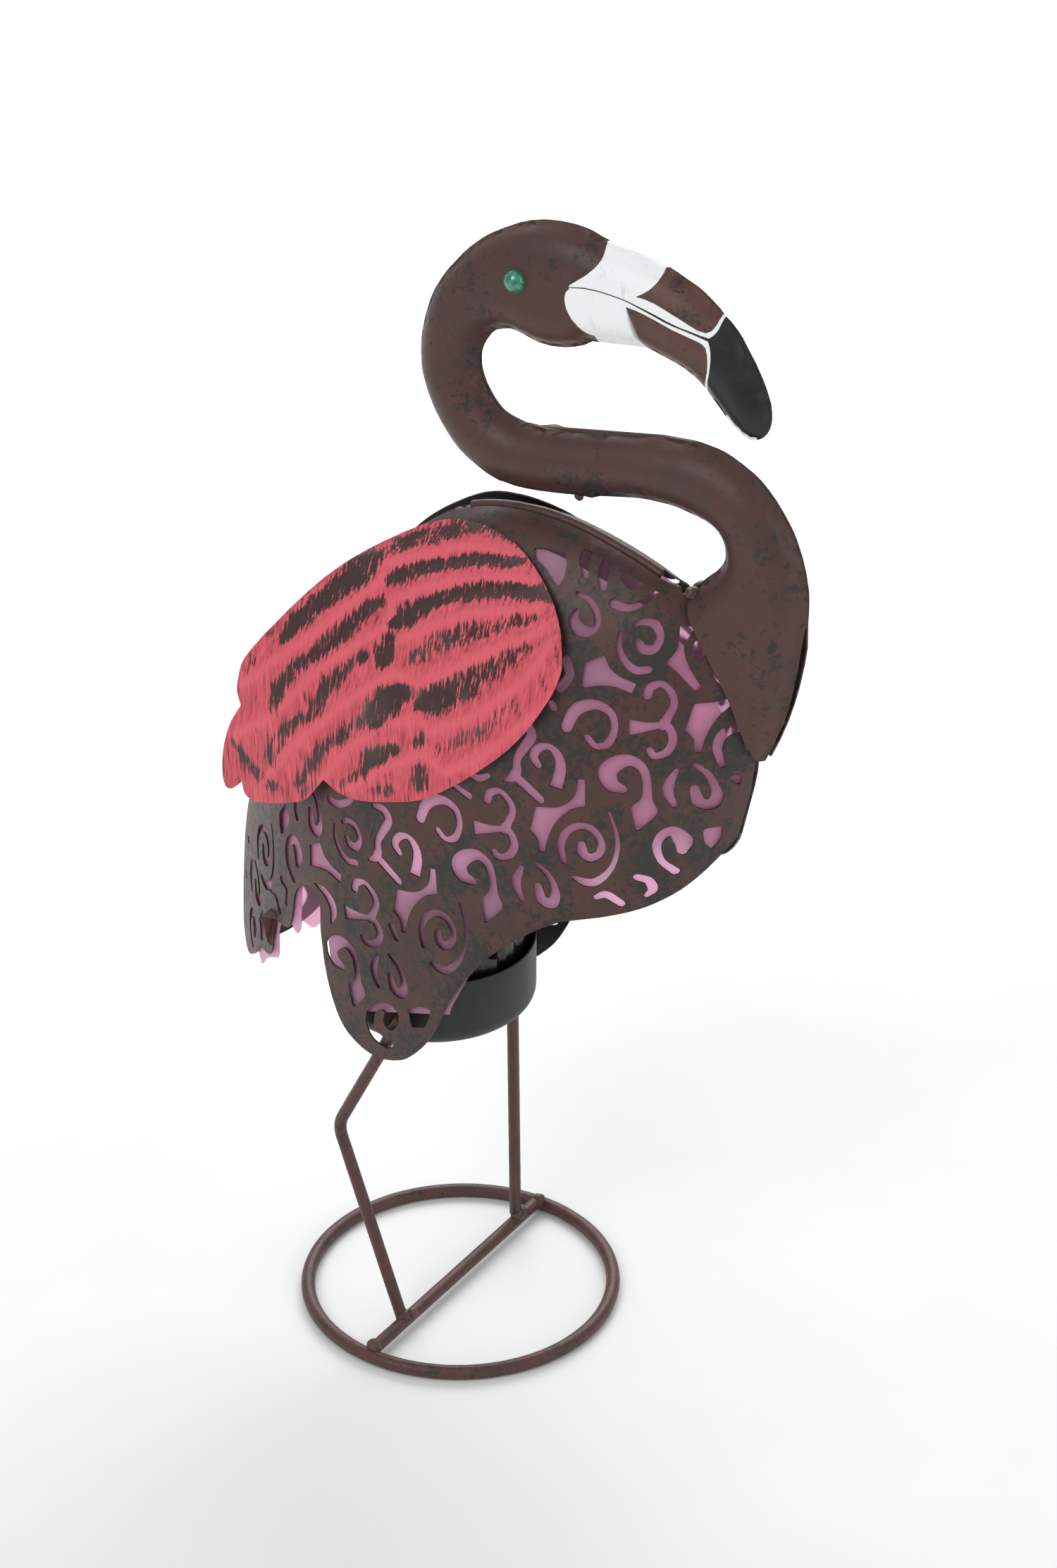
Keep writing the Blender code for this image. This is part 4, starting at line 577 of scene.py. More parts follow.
def inset(outline, margin):
    """The outline moved inwards, without the stretches that run too near the edge."""
    line = closed_line(outline)
    ahead = np.diff(line, axis=0)
    ahead /= np.maximum(np.hypot(ahead[:, 0], ahead[:, 1]), 1e-9)[:, None]
    normal = np.column_stack([ahead[:, 1], -ahead[:, 0]])
    area = np.sum(line[:-1, 0] * line[1:, 1] - line[1:, 0] * line[:-1, 1])
    if area > 0:
        normal = -normal
    both = normal + np.roll(normal, 1, axis=0)
    both /= np.maximum(np.hypot(both[:, 0], both[:, 1]), 0.3)[:, None]
    moved = outline + both * margin
    clear = (distance_to(moved, line) > 0.95 * margin) & winds_round(moved, outline)
    return moved[clear]


def grid_inside(outline, spacing, margin):
    """Points on a staggered grid inside an outline, clear of its edge."""
    low, high = outline.min(0), outline.max(0)
    rows = []
    for row, z in enumerate(np.arange(low[1], high[1], spacing * 0.87)):
        x = np.arange(low[0] + (row % 2) * spacing / 2, high[0], spacing)
        rows.append(np.column_stack([x, np.full(len(x), z)]))
    points = np.vstack(rows)
    points = points[winds_round(points, outline)]
    return points[distance_to(points, closed_line(outline)) > margin]


def largest_patch(faces):
    """The faces that hang together by edges in the largest patch."""
    owner = {}
    for index, face in enumerate(faces):
        for a, b in zip(face, face[1:] + face[:1]):
            owner.setdefault((min(a, b), max(a, b)), []).append(index)
    links = {}
    for pair in owner.values():
        if len(pair) == 2:
            links.setdefault(pair[0], []).append(pair[1])
            links.setdefault(pair[1], []).append(pair[0])
    seen, best = set(), []
    for start in range(len(faces)):
        if start in seen:
            continue
        patch, stack = [], [start]
        seen.add(start)
        while stack:
            face = stack.pop()
            patch.append(face)
            for other in links.get(face, []):
                if other not in seen:
                    seen.add(other)
                    stack.append(other)
        if len(patch) > len(best):
            best = patch
    return [faces[i] for i in sorted(best)]


def without_pinches(faces):
    """Leave out faces until no two patches meet at a single point."""
    while True:
        rim = {}
        for face in faces:
            for a, b in zip(face, face[1:] + face[:1]):
                key = (min(a, b), max(a, b))
                rim[key] = rim.get(key, 0) + 1
        ends = {}
        for (a, b), count in rim.items():
            if count == 1:
                ends[a] = ends.get(a, 0) + 1
                ends[b] = ends.get(b, 0) + 1
        pinched = {v for v, count in ends.items() if count > 2}
        if not pinched:
            return faces
        faces = largest_patch([f for f in faces if not pinched & set(f)])


def cut_sheet(outline, holes=(), margin=0.0, spacing=4.0, lines=()):
    """Flat triangles that fill an outline, less the holes kept a margin inside it."""
    border = inset(outline, margin) if len(holes) else None
    loops = [outline, *holes]
    if border is not None:
        loops.append(border)
    points, edges = [], []
    for loop in loops:
        first, count = len(points), len(loop)
        points.extend(loop)
        edges += [(first + i, first + (i + 1) % count) for i in range(count)]
    for line in lines:
        first = len(points)
        points.extend(line)
        edges += [(first + i, first + i + 1) for i in range(len(line) - 1)]
    grid = grid_inside(outline, spacing, spacing * 0.45)
    for loop in [*[closed_line(h) for h in holes], *lines]:
        low, high = loop.min(0) - spacing, loop.max(0) + spacing
        near = ((grid > low) & (grid < high)).all(1)
        close = np.flatnonzero(near)
        if len(close):
            grid = np.delete(grid, close[distance_to(grid[close], loop) < spacing * 0.4], axis=0)
    points.extend(grid)
    flat = [Vector((float(p[0]), float(p[1]))) for p in points]
    verts, _, faces, *_ = delaunay_2d_cdt(flat, edges, [], 0, 1e-5)
    verts = np.array([tuple(v) for v in verts])
    faces = [tuple(face) for face in faces]
    middle = verts[np.array(faces)].mean(1)
    keep = winds_round(middle, outline)
    if len(holes):
        cut = np.zeros(len(middle), bool)
        for hole in holes:
            cut |= winds_round(middle, hole)
        keep &= ~(cut & winds_round(middle, border))
    kept = largest_patch([face for face, wanted in zip(faces, keep) if wanted])
    return verts, without_pinches(kept)


# the bird's surfaces

def dome_radius(bearing):
    """The body's outer radius at a bearing in degrees."""
    angles = np.array([row[0] for row in DOME])
    radii = np.array([row[1] for row in DOME])
    angles = np.concatenate([angles[-2:] - 360, angles, angles[:2] + 360])
    radii = np.concatenate([radii[-2:], radii, radii[:2]])
    slope = np.gradient(radii, angles)
    at = np.clip(np.searchsorted(angles, bearing) - 1, 0, len(angles) - 2)
    gap = angles[at + 1] - angles[at]
    t = (bearing - angles[at]) / gap
    return ((2 * t ** 3 - 3 * t ** 2 + 1) * radii[at] + (t ** 3 - 2 * t ** 2 + t) * gap * slope[at]
            + (3 * t ** 2 - 2 * t ** 3) * radii[at + 1] + (t ** 3 - t ** 2) * gap * slope[at + 1])


def hip_contact():
    """Where along x the bent leg first meets the cup's straight wall."""
    wall = CUP_FLOOR + CUP_CORNER / 2
    share = (wall - KNEE[1]) / (HIP_TOP[1] - KNEE[1])
    return KNEE[0] + share * (HIP_TOP[0] - KNEE[0])


def leg_side(x):
    """How far out a leg stands where it touches the side of the cup."""
    return math.sqrt((CUP_RADIUS + LEG_ROD / 2 + GAP) ** 2 - (x - CUP_X) ** 2)


LEG_RIGHT_Y = -leg_side(hip_contact())
LEG_LEFT_Y = leg_side(STRAIGHT_LEG_TOP)
HALF_WIDTH = max(-LEG_RIGHT_Y, LEG_LEFT_Y) + LEG_ROD / 2 + GAP + SHEET / 2 + LOBE_TUCK


def body_depth(points):
    """Distance of the body panel from the mid-plane."""
    across = np.asarray(points) - DOME_CENTRE
    bearing = np.degrees(np.arctan2(across[:, 1], across[:, 0]))
    bearing = np.where(bearing < DOME[0][0], bearing + 360, bearing)
    reach = np.hypot(across[:, 0], across[:, 1])
    angles = [row[0] for row in DOME]
    gap = np.interp(bearing, angles, [row[2] for row in DOME], period=360)
    roundness = np.interp(bearing, angles, [row[3] for row in DOME], period=360)
    share = np.clip(reach / dome_radius(bearing), 0.0, 1.0)
    return gap + (HALF_WIDTH - gap) * (1 - share ** 2) ** roundness


def seam_points(first, last, parts, share=1.0):
    """Points that divide the body's seam between two bearings."""
    bearing = np.linspace(first, last, parts + 1)
    radius = dome_radius(bearing) * share
    turn = np.radians(bearing)
    return [(DOME_CENTRE[0] + r * math.cos(t), DOME_CENTRE[1] + r * math.sin(t))
            for r, t in zip(radius, turn)]


def panel_outline():
    """The body panel's cut edge."""
    back = seam_points(*BACK_SEAM)
    chest = seam_points(*CHEST_SEAM)
    return edge_from_runs([
        *PANEL_EDGES,
        ((-152.6, 212.0), *back[::-1], NECK_OVERLAP[0]),
        NECK_OVERLAP,
        (NECK_OVERLAP[-1], *chest[::-1], PANEL_EDGES[0][0]),
    ])


def film_outline():
    """The pink film's edge behind the cut-outs."""
    back = seam_points(*FILM_BACK, share=0.955)
    front = seam_points(*FILM_FRONT, share=0.95)
    return edge_from_runs([
        *FILM_EDGE, (FILM_EDGE[-1][-1], *back[::-1], *front[::-1], FILM_EDGE[0][0])])


neck_edges = line_from_runs((NECK_BACK, NECK_CHIN, NECK_FRONT), 0.3)


def neck_depth(points):
    """Distance of the neck and head half from the mid-plane."""
    points = np.asarray(points)
    in_from_edge = distance_to(points, neck_edges)
    share = np.clip((in_from_edge - NECK_FLANGE) / NECK_SHOULDER, 0.0, 1.0)
    rise = (1 - (1 - share) ** 2) ** NECK_FULLNESS
    beak = np.clip((points[:, 0] - BEAK_ROOT) / (BEAK_TIP - BEAK_ROOT), 0.0, 1.0)
    beak = np.where(points[:, 1] > BEAK_LOWEST, beak, 0.0)
    depth = GAP / 2 + SHEET / 2 + NECK_DEPTH * rise * (1 - BEAK_THINNING * beak)
    over_body = body_depth(points) + NECK_STAND_OFF
    near_body = np.clip((NECK_LEAVES_BODY - points[:, 1]) / NECK_LEAVES_OVER, 0.0, 1.0)
    over_body = over_body * near_body - NECK_WELL_INSIDE * (1 - near_body)
    blend = np.clip(0.5 + (over_body - depth) / (2 * NECK_BLEND), 0.0, 1.0)
    swell = NECK_BLEND * blend * (1 - blend) * 0.6
    return depth + (over_body - depth) * blend + swell


def wing_press(points):
    """The wing's curve across its length, before it is set against the body."""
    across = np.asarray(points) - WING_CREST
    shoulder = WING_FALL * np.maximum(across[:, 1], 0.0) ** 2
    return -(shoulder + WING_BOW * across[:, 0] ** 2)


def feather_share(points):
    """How near each point is to a feather's crest: 1 on it and 0 in the valley between two."""
    upper = np.array([distance_to(points, curve_through(q)) for q in UPPER_QUILLS])
    lower = np.array([distance_to(points, curve_through(q)) for q in LOWER_QUILLS])
    away = np.sort(np.vstack([upper, lower]), axis=0)
    return 1.0 / (1.0 + (away[0] / CREST_WIDTH) ** 2), lower.min(0) < upper.min(0)


def bareness(points):
    """How bare of pink each point of the wing is, from the patches between the feathers."""
    bare = np.zeros(len(points))
    for strength, stroke in BARE_PATCHES:
        for start, end in zip(stroke, stroke[1:]):
            start, end = np.array(start, float), np.array(end, float)
            along = end[:2] - start[:2]
            share = np.clip((points - start[:2]) @ along / max(along @ along, 1e-9), 0.0, 1.0)
            away = np.linalg.norm(points - start[:2] - share[:, None] * along, axis=1)
            half = 0.5 * (start[2] + share * (end[2] - start[2]))
            bare = np.maximum(bare, strength * np.clip(PATCH_FADE - away / half, 0.0, 1.0))
    return bare


# finishes

class Finish:
    """A material put together node by node."""

    def __init__(self, name):
        self.material = bpy.data.materials.new(name)
        self.material.use_nodes = True
        self.nodes = self.material.node_tree.nodes
        self.links = self.material.node_tree.links
        self.shader = self.nodes["Principled BSDF"]
        self.place = self.add("ShaderNodeTexCoord").outputs["Object"]

    def add(self, kind, **settings):
        node = self.nodes.new(kind)
        for name, value in settings.items():
            setattr(node, name, value)
        return node

    def join(self, source, target):
        self.links.new(source, target)

    def set(self, **values):
        for name, value in values.items():
            self.shader.inputs[name.replace("_", " ")].default_value = value

    def mapped(self, scale, turn):
        node = self.add("ShaderNodeMapping")
        self.join(self.place, node.inputs["Vector"])
        node.inputs["Scale"].default_value = scale
        node.inputs["Rotation"].default_value = turn
        return node.outputs["Vector"]

    def noise(self, scale, detail=4.0, roughness=0.55, where=None, distortion=0.0):
        node = self.add("ShaderNodeTexNoise")
        self.join(where or self.place, node.inputs["Vector"])
        node.inputs["Scale"].default_value = scale
        node.inputs["Detail"].default_value = detail
        node.inputs["Roughness"].default_value = roughness
        node.inputs["Distortion"].default_value = distortion
        return node.outputs["Fac"]

    def ramp(self, source, *stops):
        node = self.add("ShaderNodeValToRGB")
        self.join(source, node.inputs["Fac"])
        elements = node.color_ramp.elements
        while len(elements) < len(stops):
            elements.new(0.5)
        for element, (at, colour) in zip(elements, stops):
            element.position = at
            element.color = (*colour, 1.0) if len(np.shape(colour)) else (colour,) * 3 + (1.0,)
        return node.outputs["Color"]

    def span(self, source, low, high, to_low=0.0, to_high=1.0):
        node = self.add("ShaderNodeMapRange")
        self.join(source, node.inputs["Value"])
        for name, value in (("From Min", low), ("From Max", high), ("To Min", to_low),
                            ("To Max", to_high)):
            node.inputs[name].default_value = value
        return node.outputs["Result"]

    def sums(self, operation, first, second):
        node = self.add("ShaderNodeMath", operation=operation)
        for socket, value in zip(node.inputs, (first, second)):
            if isinstance(value, (int, float)):
                socket.default_value = value
            else:
                self.join(value, socket)
        return node.outputs["Value"]

    def mix(self, share, first, second):
        node = self.add("ShaderNodeMix", data_type="RGBA")
        sockets = (node.inputs[0], node.inputs[6], node.inputs[7])
        for socket, value in zip(sockets, (share, first, second)):
            if isinstance(value, (int, float)):
                socket.default_value = value
            elif isinstance(value, tuple):
                socket.default_value = (*value, 1.0)
            else:
                self.join(value, socket)
        return node.outputs[2]

    def attribute(self, name):
        return self.add("ShaderNodeAttribute", attribute_name=name).outputs["Fac"]

    def colour(self, source):
        self.join(source, self.shader.inputs["Base Color"])

    def roughness(self, source):
        self.join(source, self.shader.inputs["Roughness"])

    def bump(self, height, strength=0.3, distance=0.001):
        node = self.add("ShaderNodeBump")
        node.inputs["Strength"].default_value = strength
        node.inputs["Distance"].default_value = distance
        self.join(height, node.inputs["Height"])
        self.join(node.outputs["Normal"], self.shader.inputs["Normal"])


def patina(name, brown, red, mottle, amount, blotch):
    """Brown paint with rusty and black-green mottling, as on the body and rods."""
    paint = Finish(name)
    wide = paint.noise(blotch, 5.0, 0.62)
    flakes = paint.noise(blotch * 9.0, 6.0, 0.72, distortion=0.5)
    specks = paint.noise(blotch * 30, 3.0, 0.6)
    base = paint.mix(paint.span(paint.noise(blotch * 1.7, 4.0), 0.35, 0.65), brown, red)
    mask = paint.sums("ADD", paint.sums("MULTIPLY", wide, 1.1),
                      paint.sums("MULTIPLY", flakes, 1.3))
    mask = paint.span(mask, 1.42 - 0.3 * amount, 1.49 - 0.3 * amount)
    base = paint.mix(paint.sums("MULTIPLY", mask, 0.88), base, mottle)
    light = tuple(min(1.0, 1.5 * c + 0.012) for c in brown)
    base = paint.mix(paint.span(specks, 0.66, 0.78, 0.0, 0.35), base, light)
    paint.colour(base)
    paint.roughness(paint.span(flakes, 0.3, 0.7, 0.34, 0.54))
    paint.bump(paint.sums("ADD", flakes, paint.sums("MULTIPLY", specks, 0.6)), 0.28, 0.0004)
    paint.set(Metallic=0.0, Specular_IOR_Level=0.45)
    return paint.material


def dark_inside():
    """Near-black colour on the inner faces of the sheets, varied by noise."""
    paint = Finish("inside_black")
    # noise that varies the near-black of the inner faces
    inside_noise = paint.noise(60.0, 5.0, 0.6)
    paint.colour(paint.ramp(inside_noise, (0.3, (0.006, 0.006, 0.006)), (0.7, (0.022, 0.019, 0.018))))
    paint.roughness(paint.span(inside_noise, 0.3, 0.7, 0.5, 0.75))
    paint.bump(paint.noise(500.0), 0.2, 0.0003)
    return paint.material


def cut_edge():
    """The laser-cut rim of the sheet: dark, with scattered bright spots that are partly rubbed wear
    and partly painted highlight where the rim catches the light.
    """
    paint = Finish("cut_edge")
    spot_noise = paint.noise(140.0, 4.0, 0.6)
    # the brightest stop is painted highlight on the rim, together with rubbed wear
    paint.colour(paint.ramp(spot_noise, (0.35, (0.020, 0.014, 0.013)), (0.6, (0.055, 0.036, 0.033)),
                            (0.8, (0.16, 0.11, 0.11))))
    paint.roughness(paint.span(spot_noise, 0.3, 0.7, 0.55, 0.4))
    paint.set(Metallic=0.2)
    return paint.material


def wing_paint():
    """Pink paint dragged over dark brown feathers, thick on the crests and bare between."""
    paint = Finish("wing_pink")
    slant = (0, math.radians(-17), 0)
    hairs = paint.noise(1.0, 3.0, 0.6, where=paint.mapped((620, 300, 48), slant))
    fine_hairs = paint.noise(1.0, 2.0, 0.6, where=paint.mapped((1500, 600, 110), slant))
    patches = paint.noise(60.0, 4.0, 0.6)
    crest = paint.attribute("crest")
    bare = paint.attribute("bare")
    drag = paint.sums("ADD", paint.sums("MULTIPLY", hairs, 2.7),
                      paint.sums("MULTIPLY", fine_hairs, 1.7))
    drag = paint.sums("ADD", drag, paint.sums("MULTIPLY", patches, 0.6))
    score = paint.sums("ADD", drag, paint.sums("MULTIPLY", crest, 0.55))
    score = paint.sums("SUBTRACT", score, paint.sums("MULTIPLY", bare, 1.0))
    cover = paint.span(score, 2.00, 2.24)
    worn = paint.span(paint.noise(24.0, 3.0), 0.56, 0.70, 0.0, 0.7)
    under = paint.mix(worn, (0.058, 0.024, 0.022), (0.15, 0.13, 0.12))
    under = paint.mix(paint.span(bare, 0.4, 0.9, 0.0, 0.7), under, (0.050, 0.022, 0.020))
    pink = paint.mix(paint.span(drag, 2.1, 3.0), (0.50, 0.058, 0.080), (0.86, 0.130, 0.172))
    pink = paint.mix(paint.span(crest, 0.2, 0.9, 0.0, 0.8), pink, (0.84, 0.135, 0.175))
    paint.colour(paint.mix(cover, under, pink))
    paint.roughness(paint.span(cover, 0.0, 1.0, 0.42, 0.58))
    height = paint.sums("ADD", paint.sums("MULTIPLY", cover, 0.5),
                        paint.sums("MULTIPLY", drag, 0.6))
    paint.bump(height, 0.45, 0.0005)
    paint.set(Specular_IOR_Level=0.4)
    return paint.material


def pink_film():
    """Frosted pink film: what lies behind it glows through, blurred."""
    paint = Finish("pink_film")
    cloud = paint.noise(26.0, 3.0, 0.5)
    paint.colour(paint.ramp(cloud, (0.35, (0.90, 0.47, 0.67)), (0.65, (0.98, 0.60, 0.77))))
    paint.roughness(paint.span(cloud, 0.3, 0.7, 0.34, 0.44))
    paint.set(Transmission_Weight=0.76, IOR=1.28)
    return paint.material


def beak_white():
    """White brushed paint with faint grey drag marks."""
    paint = Finish("beak_white")
    drag = paint.noise(1.0, 4.0, 0.6, where=paint.mapped((220, 220, 60), (0, math.radians(20), 0)))
    paint.colour(paint.ramp(drag, (0.28, (0.78, 0.84, 0.87)), (0.42, (0.98, 1.0, 1.0)),
                            (0.6, (1.0, 1.0, 1.0))))
    paint.roughness(paint.span(drag, 0.3, 0.7, 0.36, 0.5))
    paint.bump(drag, 0.25, 0.0003)
    return paint.material


def beak_black():
    """Black paint on the tip of the beak."""
    paint = Finish("beak_black")
    spot_noise = paint.noise(90.0, 5.0, 0.6)
    paint.colour(paint.ramp(spot_noise, (0.4, (0.006, 0.007, 0.006)), (0.7, (0.016, 0.018, 0.017))))
    paint.roughness(paint.span(spot_noise, 0.3, 0.7, 0.34, 0.5))
    paint.bump(spot_noise, 0.2, 0.0003)
    return paint.material


def cup_paint():
    """Dark grey satin paint on the cup."""
    paint = Finish("cup_grey")
    haze = paint.noise(45.0, 4.0, 0.55)
    dust = paint.noise(900.0, 2.0)
    tone = paint.ramp(haze, (0.3, (0.005, 0.007, 0.007)), (0.7, (0.011, 0.014, 0.014)))
    paint.colour(paint.mix(paint.span(dust, 0.68, 0.8, 0.0, 0.4), tone, (0.10, 0.10, 0.10)))
    paint.roughness(paint.span(haze, 0.3, 0.7, 0.42, 0.55))
    paint.bump(dust, 0.12, 0.0002)
    return paint.material


def black_film():
    """Glossy black film, creased."""
    paint = Finish("black_film")
    crease = paint.noise(120.0, 5.0, 0.6, distortion=0.8)
    paint.colour(paint.ramp(crease, (0.3, (0.004, 0.004, 0.004)), (0.8, (0.020, 0.019, 0.020))))
    paint.roughness(paint.span(crease, 0.3, 0.7, 0.12, 0.26))
    paint.bump(crease, 0.5, 0.0012)
    paint.set(Specular_IOR_Level=0.6)
    return paint.material


def eye_glass():
    """Polished green glass with a darker depth."""
    paint = Finish("eye_green")
    swirl = paint.noise(420.0, 3.0, 0.5, distortion=1.2)
    paint.colour(paint.ramp(swirl, (0.35, (0.004, 0.10, 0.055)), (0.65, (0.02, 0.36, 0.20))))
    paint.set(Roughness=0.06, Specular_IOR_Level=0.7, Coat_Weight=1.0, Coat_Roughness=0.03)
    return paint.material


BROWN = (0.060, 0.030, 0.025)
RED = (0.092, 0.034, 0.027)
MOTTLE = (0.021, 0.024, 0.022)
body_brown = patina("body_patina", BROWN, RED, MOTTLE, 0.66, 30.0)
neck_brown = patina("neck_patina", (0.066, 0.034, 0.029), (0.092, 0.035, 0.029), MOTTLE,
                    0.44, 24.0)
rod_brown = patina("rod_patina", (0.080, 0.036, 0.031), (0.105, 0.040, 0.034),
                   (0.030, 0.026, 0.024), 0.42, 40.0)
weld_brown = patina("weld_patina", (0.085, 0.042, 0.036), (0.13, 0.070, 0.060),
                    (0.034, 0.028, 0.026), 0.5, 60.0)
inside_black = dark_inside()
edge_dark = cut_edge()


# making pieces

def in_place(points):
    """Drawn points (x, y, z) in millimetres as metres in the statue's own frame."""
    return np.asarray(points, float) * MM + (BIRD_X, BIRD_Y, 0.0)


def new_piece(name, points, faces, materials):
    """A mesh object with its materials."""
    mesh = bpy.data.meshes.new(name)
    mesh.from_pydata([tuple(p) for p in points], [], faces)
    for material in materials:
        mesh.materials.append(material)
    obj = bpy.data.objects.new(name, mesh)
    bpy.context.scene.collection.objects.link(obj)
    return obj


def as_plain(obj, crease=38.0):
    """Turn an object with modifiers into a plain mesh, smooth with sharp creases."""
    graph = bpy.context.evaluated_depsgraph_get()
    mesh = bpy.data.meshes.new_from_object(obj.evaluated_get(graph))
    obj.modifiers.clear()
    old = obj.data
    obj.data = mesh
    if old.users == 0:
        bpy.data.meshes.remove(old)
    mesh.name = obj.name
    mesh.shade_smooth()
    mesh.set_sharp_from_angle(angle=math.radians(crease))
    return obj


def keep(obj, node, slot_name):
    """Ride on the statue and stand for the CAD node."""
    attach(obj, "root")
    if node:
        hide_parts(node)
    return obj


def pressed_sheet(name, flat, depth, side, thickness, materials, push=0.0, marks=None,
                  paint=None):
    """A flat pattern pressed to its depth from the mid-plane and given its thickness.

    side is -1 for the right of the bird and +1 for the left. marks are values
    kept at each point for the finish, and paint numbers the material of a face.
    """
    verts, faces = flat
    used = sorted({v for face in faces for v in face})
    index = {v: i for i, v in enumerate(used)}
    place = verts[used]
    y = depth(place)
    order = 1 if side < 0 else -1
    points = in_place(np.column_stack([place[:, 0], side * y, place[:, 1]]))
    shown = [tuple(index[v] for v in face)[::order] for face in faces]
    obj = new_piece(name, points, shown, materials)
    mesh = obj.data
    if paint is not None:
        middle = verts[np.array(faces)].mean(1)
        mesh.polygons.foreach_set("material_index", paint(middle).astype(np.int32))
    for key, values in (marks(place) if marks else {}).items():
        mesh.attributes.new(key, "FLOAT", "POINT").data.foreach_set(
            "value", values.astype(np.float32))
    if push:
        bm = bmesh.new()
        bm.from_mesh(mesh)
        bm.normal_update()
        moved = [v.co + v.normal * push * MM for v in bm.verts]
        for vert, where in zip(bm.verts, moved):
            vert.co = where
        bm.to_mesh(mesh)
        bm.free()
    wall = obj.modifiers.new("thickness", "SOLIDIFY")
    wall.thickness = thickness * MM
    wall.offset = 0.0
    wall.use_even_offset = True
    if len(materials) == 3:
        wall.material_offset = 1
        wall.material_offset_rim = 2
    return as_plain(obj)


def make_body_panels():
    flat = cut_sheet(panel_outline(), cut_outs(), PATTERN_MARGIN, PANEL_GRID)
    for side_name, side in (("right", -1), ("left", 1)):
        obj = pressed_sheet("body_panel_skin_" + side_name, flat, body_depth, side, SHEET,
                            [body_brown, inside_black, edge_dark])
        keep(obj, "body_panel_" + side_name, "body_steel")


def make_films():
    film = pink_film()
    flat = cut_sheet(film_outline(), spacing=6.0)

    def slack(points):
        x, z = points[:, 0], points[:, 1]
        wave = np.sin(x / 13.0 + z / 31.0) * np.cos(z / 17.0 - x / 41.0)
        wave = wave + np.sin(x / 29.0 - z / 23.0)
        return body_depth(points) - FILM_SLACK * (2.0 + wave)

    for side_name, side in (("right", -1), ("left", 1)):
        obj = pressed_sheet("film_" + side_name, flat, slack, side, FILM, [film],
                            -(SHEET / 2 + FILM_GAP))
        keep(obj, "liner_" + side_name, "pink_film")


def make_wings():
    outline = edge_from_runs(WING_EDGES)
    pink = wing_paint()
    sample = np.vstack([outline, grid_inside(outline, 5.0, 0.0)])
    stand_off = float((body_depth(sample) - wing_press(sample)).max()) + SHEET + GAP
    flat = cut_sheet(outline, spacing=WING_GRID)
    rim = closed_line(outline)

    def depth(points):
        crest, lower = feather_share(points)
        step = np.where(lower, 0.0, UPPER_TIER_STEP)
        fade = np.clip(distance_to(points, rim) / WING_FLAT_RIM, 0.0, 1.0)
        return stand_off + wing_press(points) + (FEATHER_RISE * crest + step) * fade - GAP

    def marks(points):
        return {"crest": feather_share(points)[0], "bare": bareness(points)}

    for side_name, side in (("right", -1), ("left", 1)):
        obj = pressed_sheet("wing_skin_" + side_name, flat, depth, side, SHEET,
                            [pink, inside_black, edge_dark], marks=marks)
        keep(obj, "wing_" + side_name, "wing_steel")


def beak_zone(points):
    """Which paint covers each point of the head: brown, white, black or beak brown."""
    face = line_from_runs(FACE_EDGE)
    whole = np.vstack([face, [(200.0, 560.0), (200.0, 662.0)]])
    black = np.vstack([line_from_runs(BLACK_TIP), [(200.0, 560.0), (200.0, 660.0)]])
    zone = np.zeros(len(points), int)
    beak = winds_round(points, whole)
    zone[beak] = 1
    zone[beak & winds_round(points, edge_from_runs(UPPER_PATCH))] = 3
    zone[beak & winds_round(points, edge_from_runs(LOWER_PATCH))] = 3
    zone[beak & winds_round(points, black)] = 2
    zone[beak & winds_round(points, brush_stroke(MOUTH_LINE))] = 2
    return zone


def make_neck():
    outline = edge_from_runs(
        (NECK_BACK, NECK_CHIN, NECK_FRONT, (NECK_FRONT[-1], NECK_HEM[0]), NECK_HEM))
    lines = [line_from_runs(FACE_EDGE), line_from_runs(BLACK_TIP),
             closed_line(edge_from_runs(UPPER_PATCH)), closed_line(edge_from_runs(LOWER_PATCH)),
             closed_line(brush_stroke(MOUTH_LINE, 0.04))]
    flat = cut_sheet(outline, spacing=NECK_GRID, lines=lines)
    white, black = beak_white(), beak_black()
    beak_brown = patina("beak_patina", (0.098, 0.045, 0.036), (0.125, 0.050, 0.040), MOTTLE, 0.42,
                        70.0)
    for side_name, side in (("right", -1), ("left", 1)):
        obj = pressed_sheet("neck_skin_" + side_name, flat, neck_depth, side, SHEET,
                            [neck_brown, white, black, beak_brown], paint=beak_zone)
        keep(obj, "neck_head_" + side_name, "neck_steel")


def half_ball(rings, around):
    """A closed half ball of radius 1 that stands on its flat side, as points and faces."""
    points, faces = [(0.0, 0.0, 1.0)], []
    for ring in range(1, rings + 1):
        lift = math.radians(90 * ring / rings)
        for i in range(around):
            turn = 2 * math.pi * i / around
            points.append((math.sin(lift) * math.cos(turn), math.sin(lift) * math.sin(turn),
                           math.cos(lift)))
    points.append((0.0, 0.0, 0.0))
    for i in range(around):
        j = (i + 1) % around
        faces.append((0, 1 + i, 1 + j))
        for ring in range(rings - 1):
            low = 1 + ring * around
            faces.append((low + i, low + around + i, low + around + j, low + j))
        low = 1 + (rings - 1) * around
        faces.append((low + i, len(points) - 1, low + j))
    return points, faces


def make_eyes():
    glass = eye_glass()
    place = np.array([EYE_PLACE])
    back = float(neck_depth(place)[0]) + SHEET / 2 + EYE_GAP
    radius = EYE_DIAMETER / 2
    points, faces = half_ball(14, 48)
    for side_name, side in (("right", -1), ("left", 1)):
        shaped = [(EYE_PLACE[0] + radius * p[0], side * (back + EYE_HEIGHT * p[2]),
                   EYE_PLACE[1] - side * radius * p[1]) for p in points]
        obj = new_piece("eye_dome_" + side_name, in_place(shaped), faces, [glass])
        keep(as_plain(obj), "eye_" + side_name, "eye_glass")


# rods and welds, made by node trees

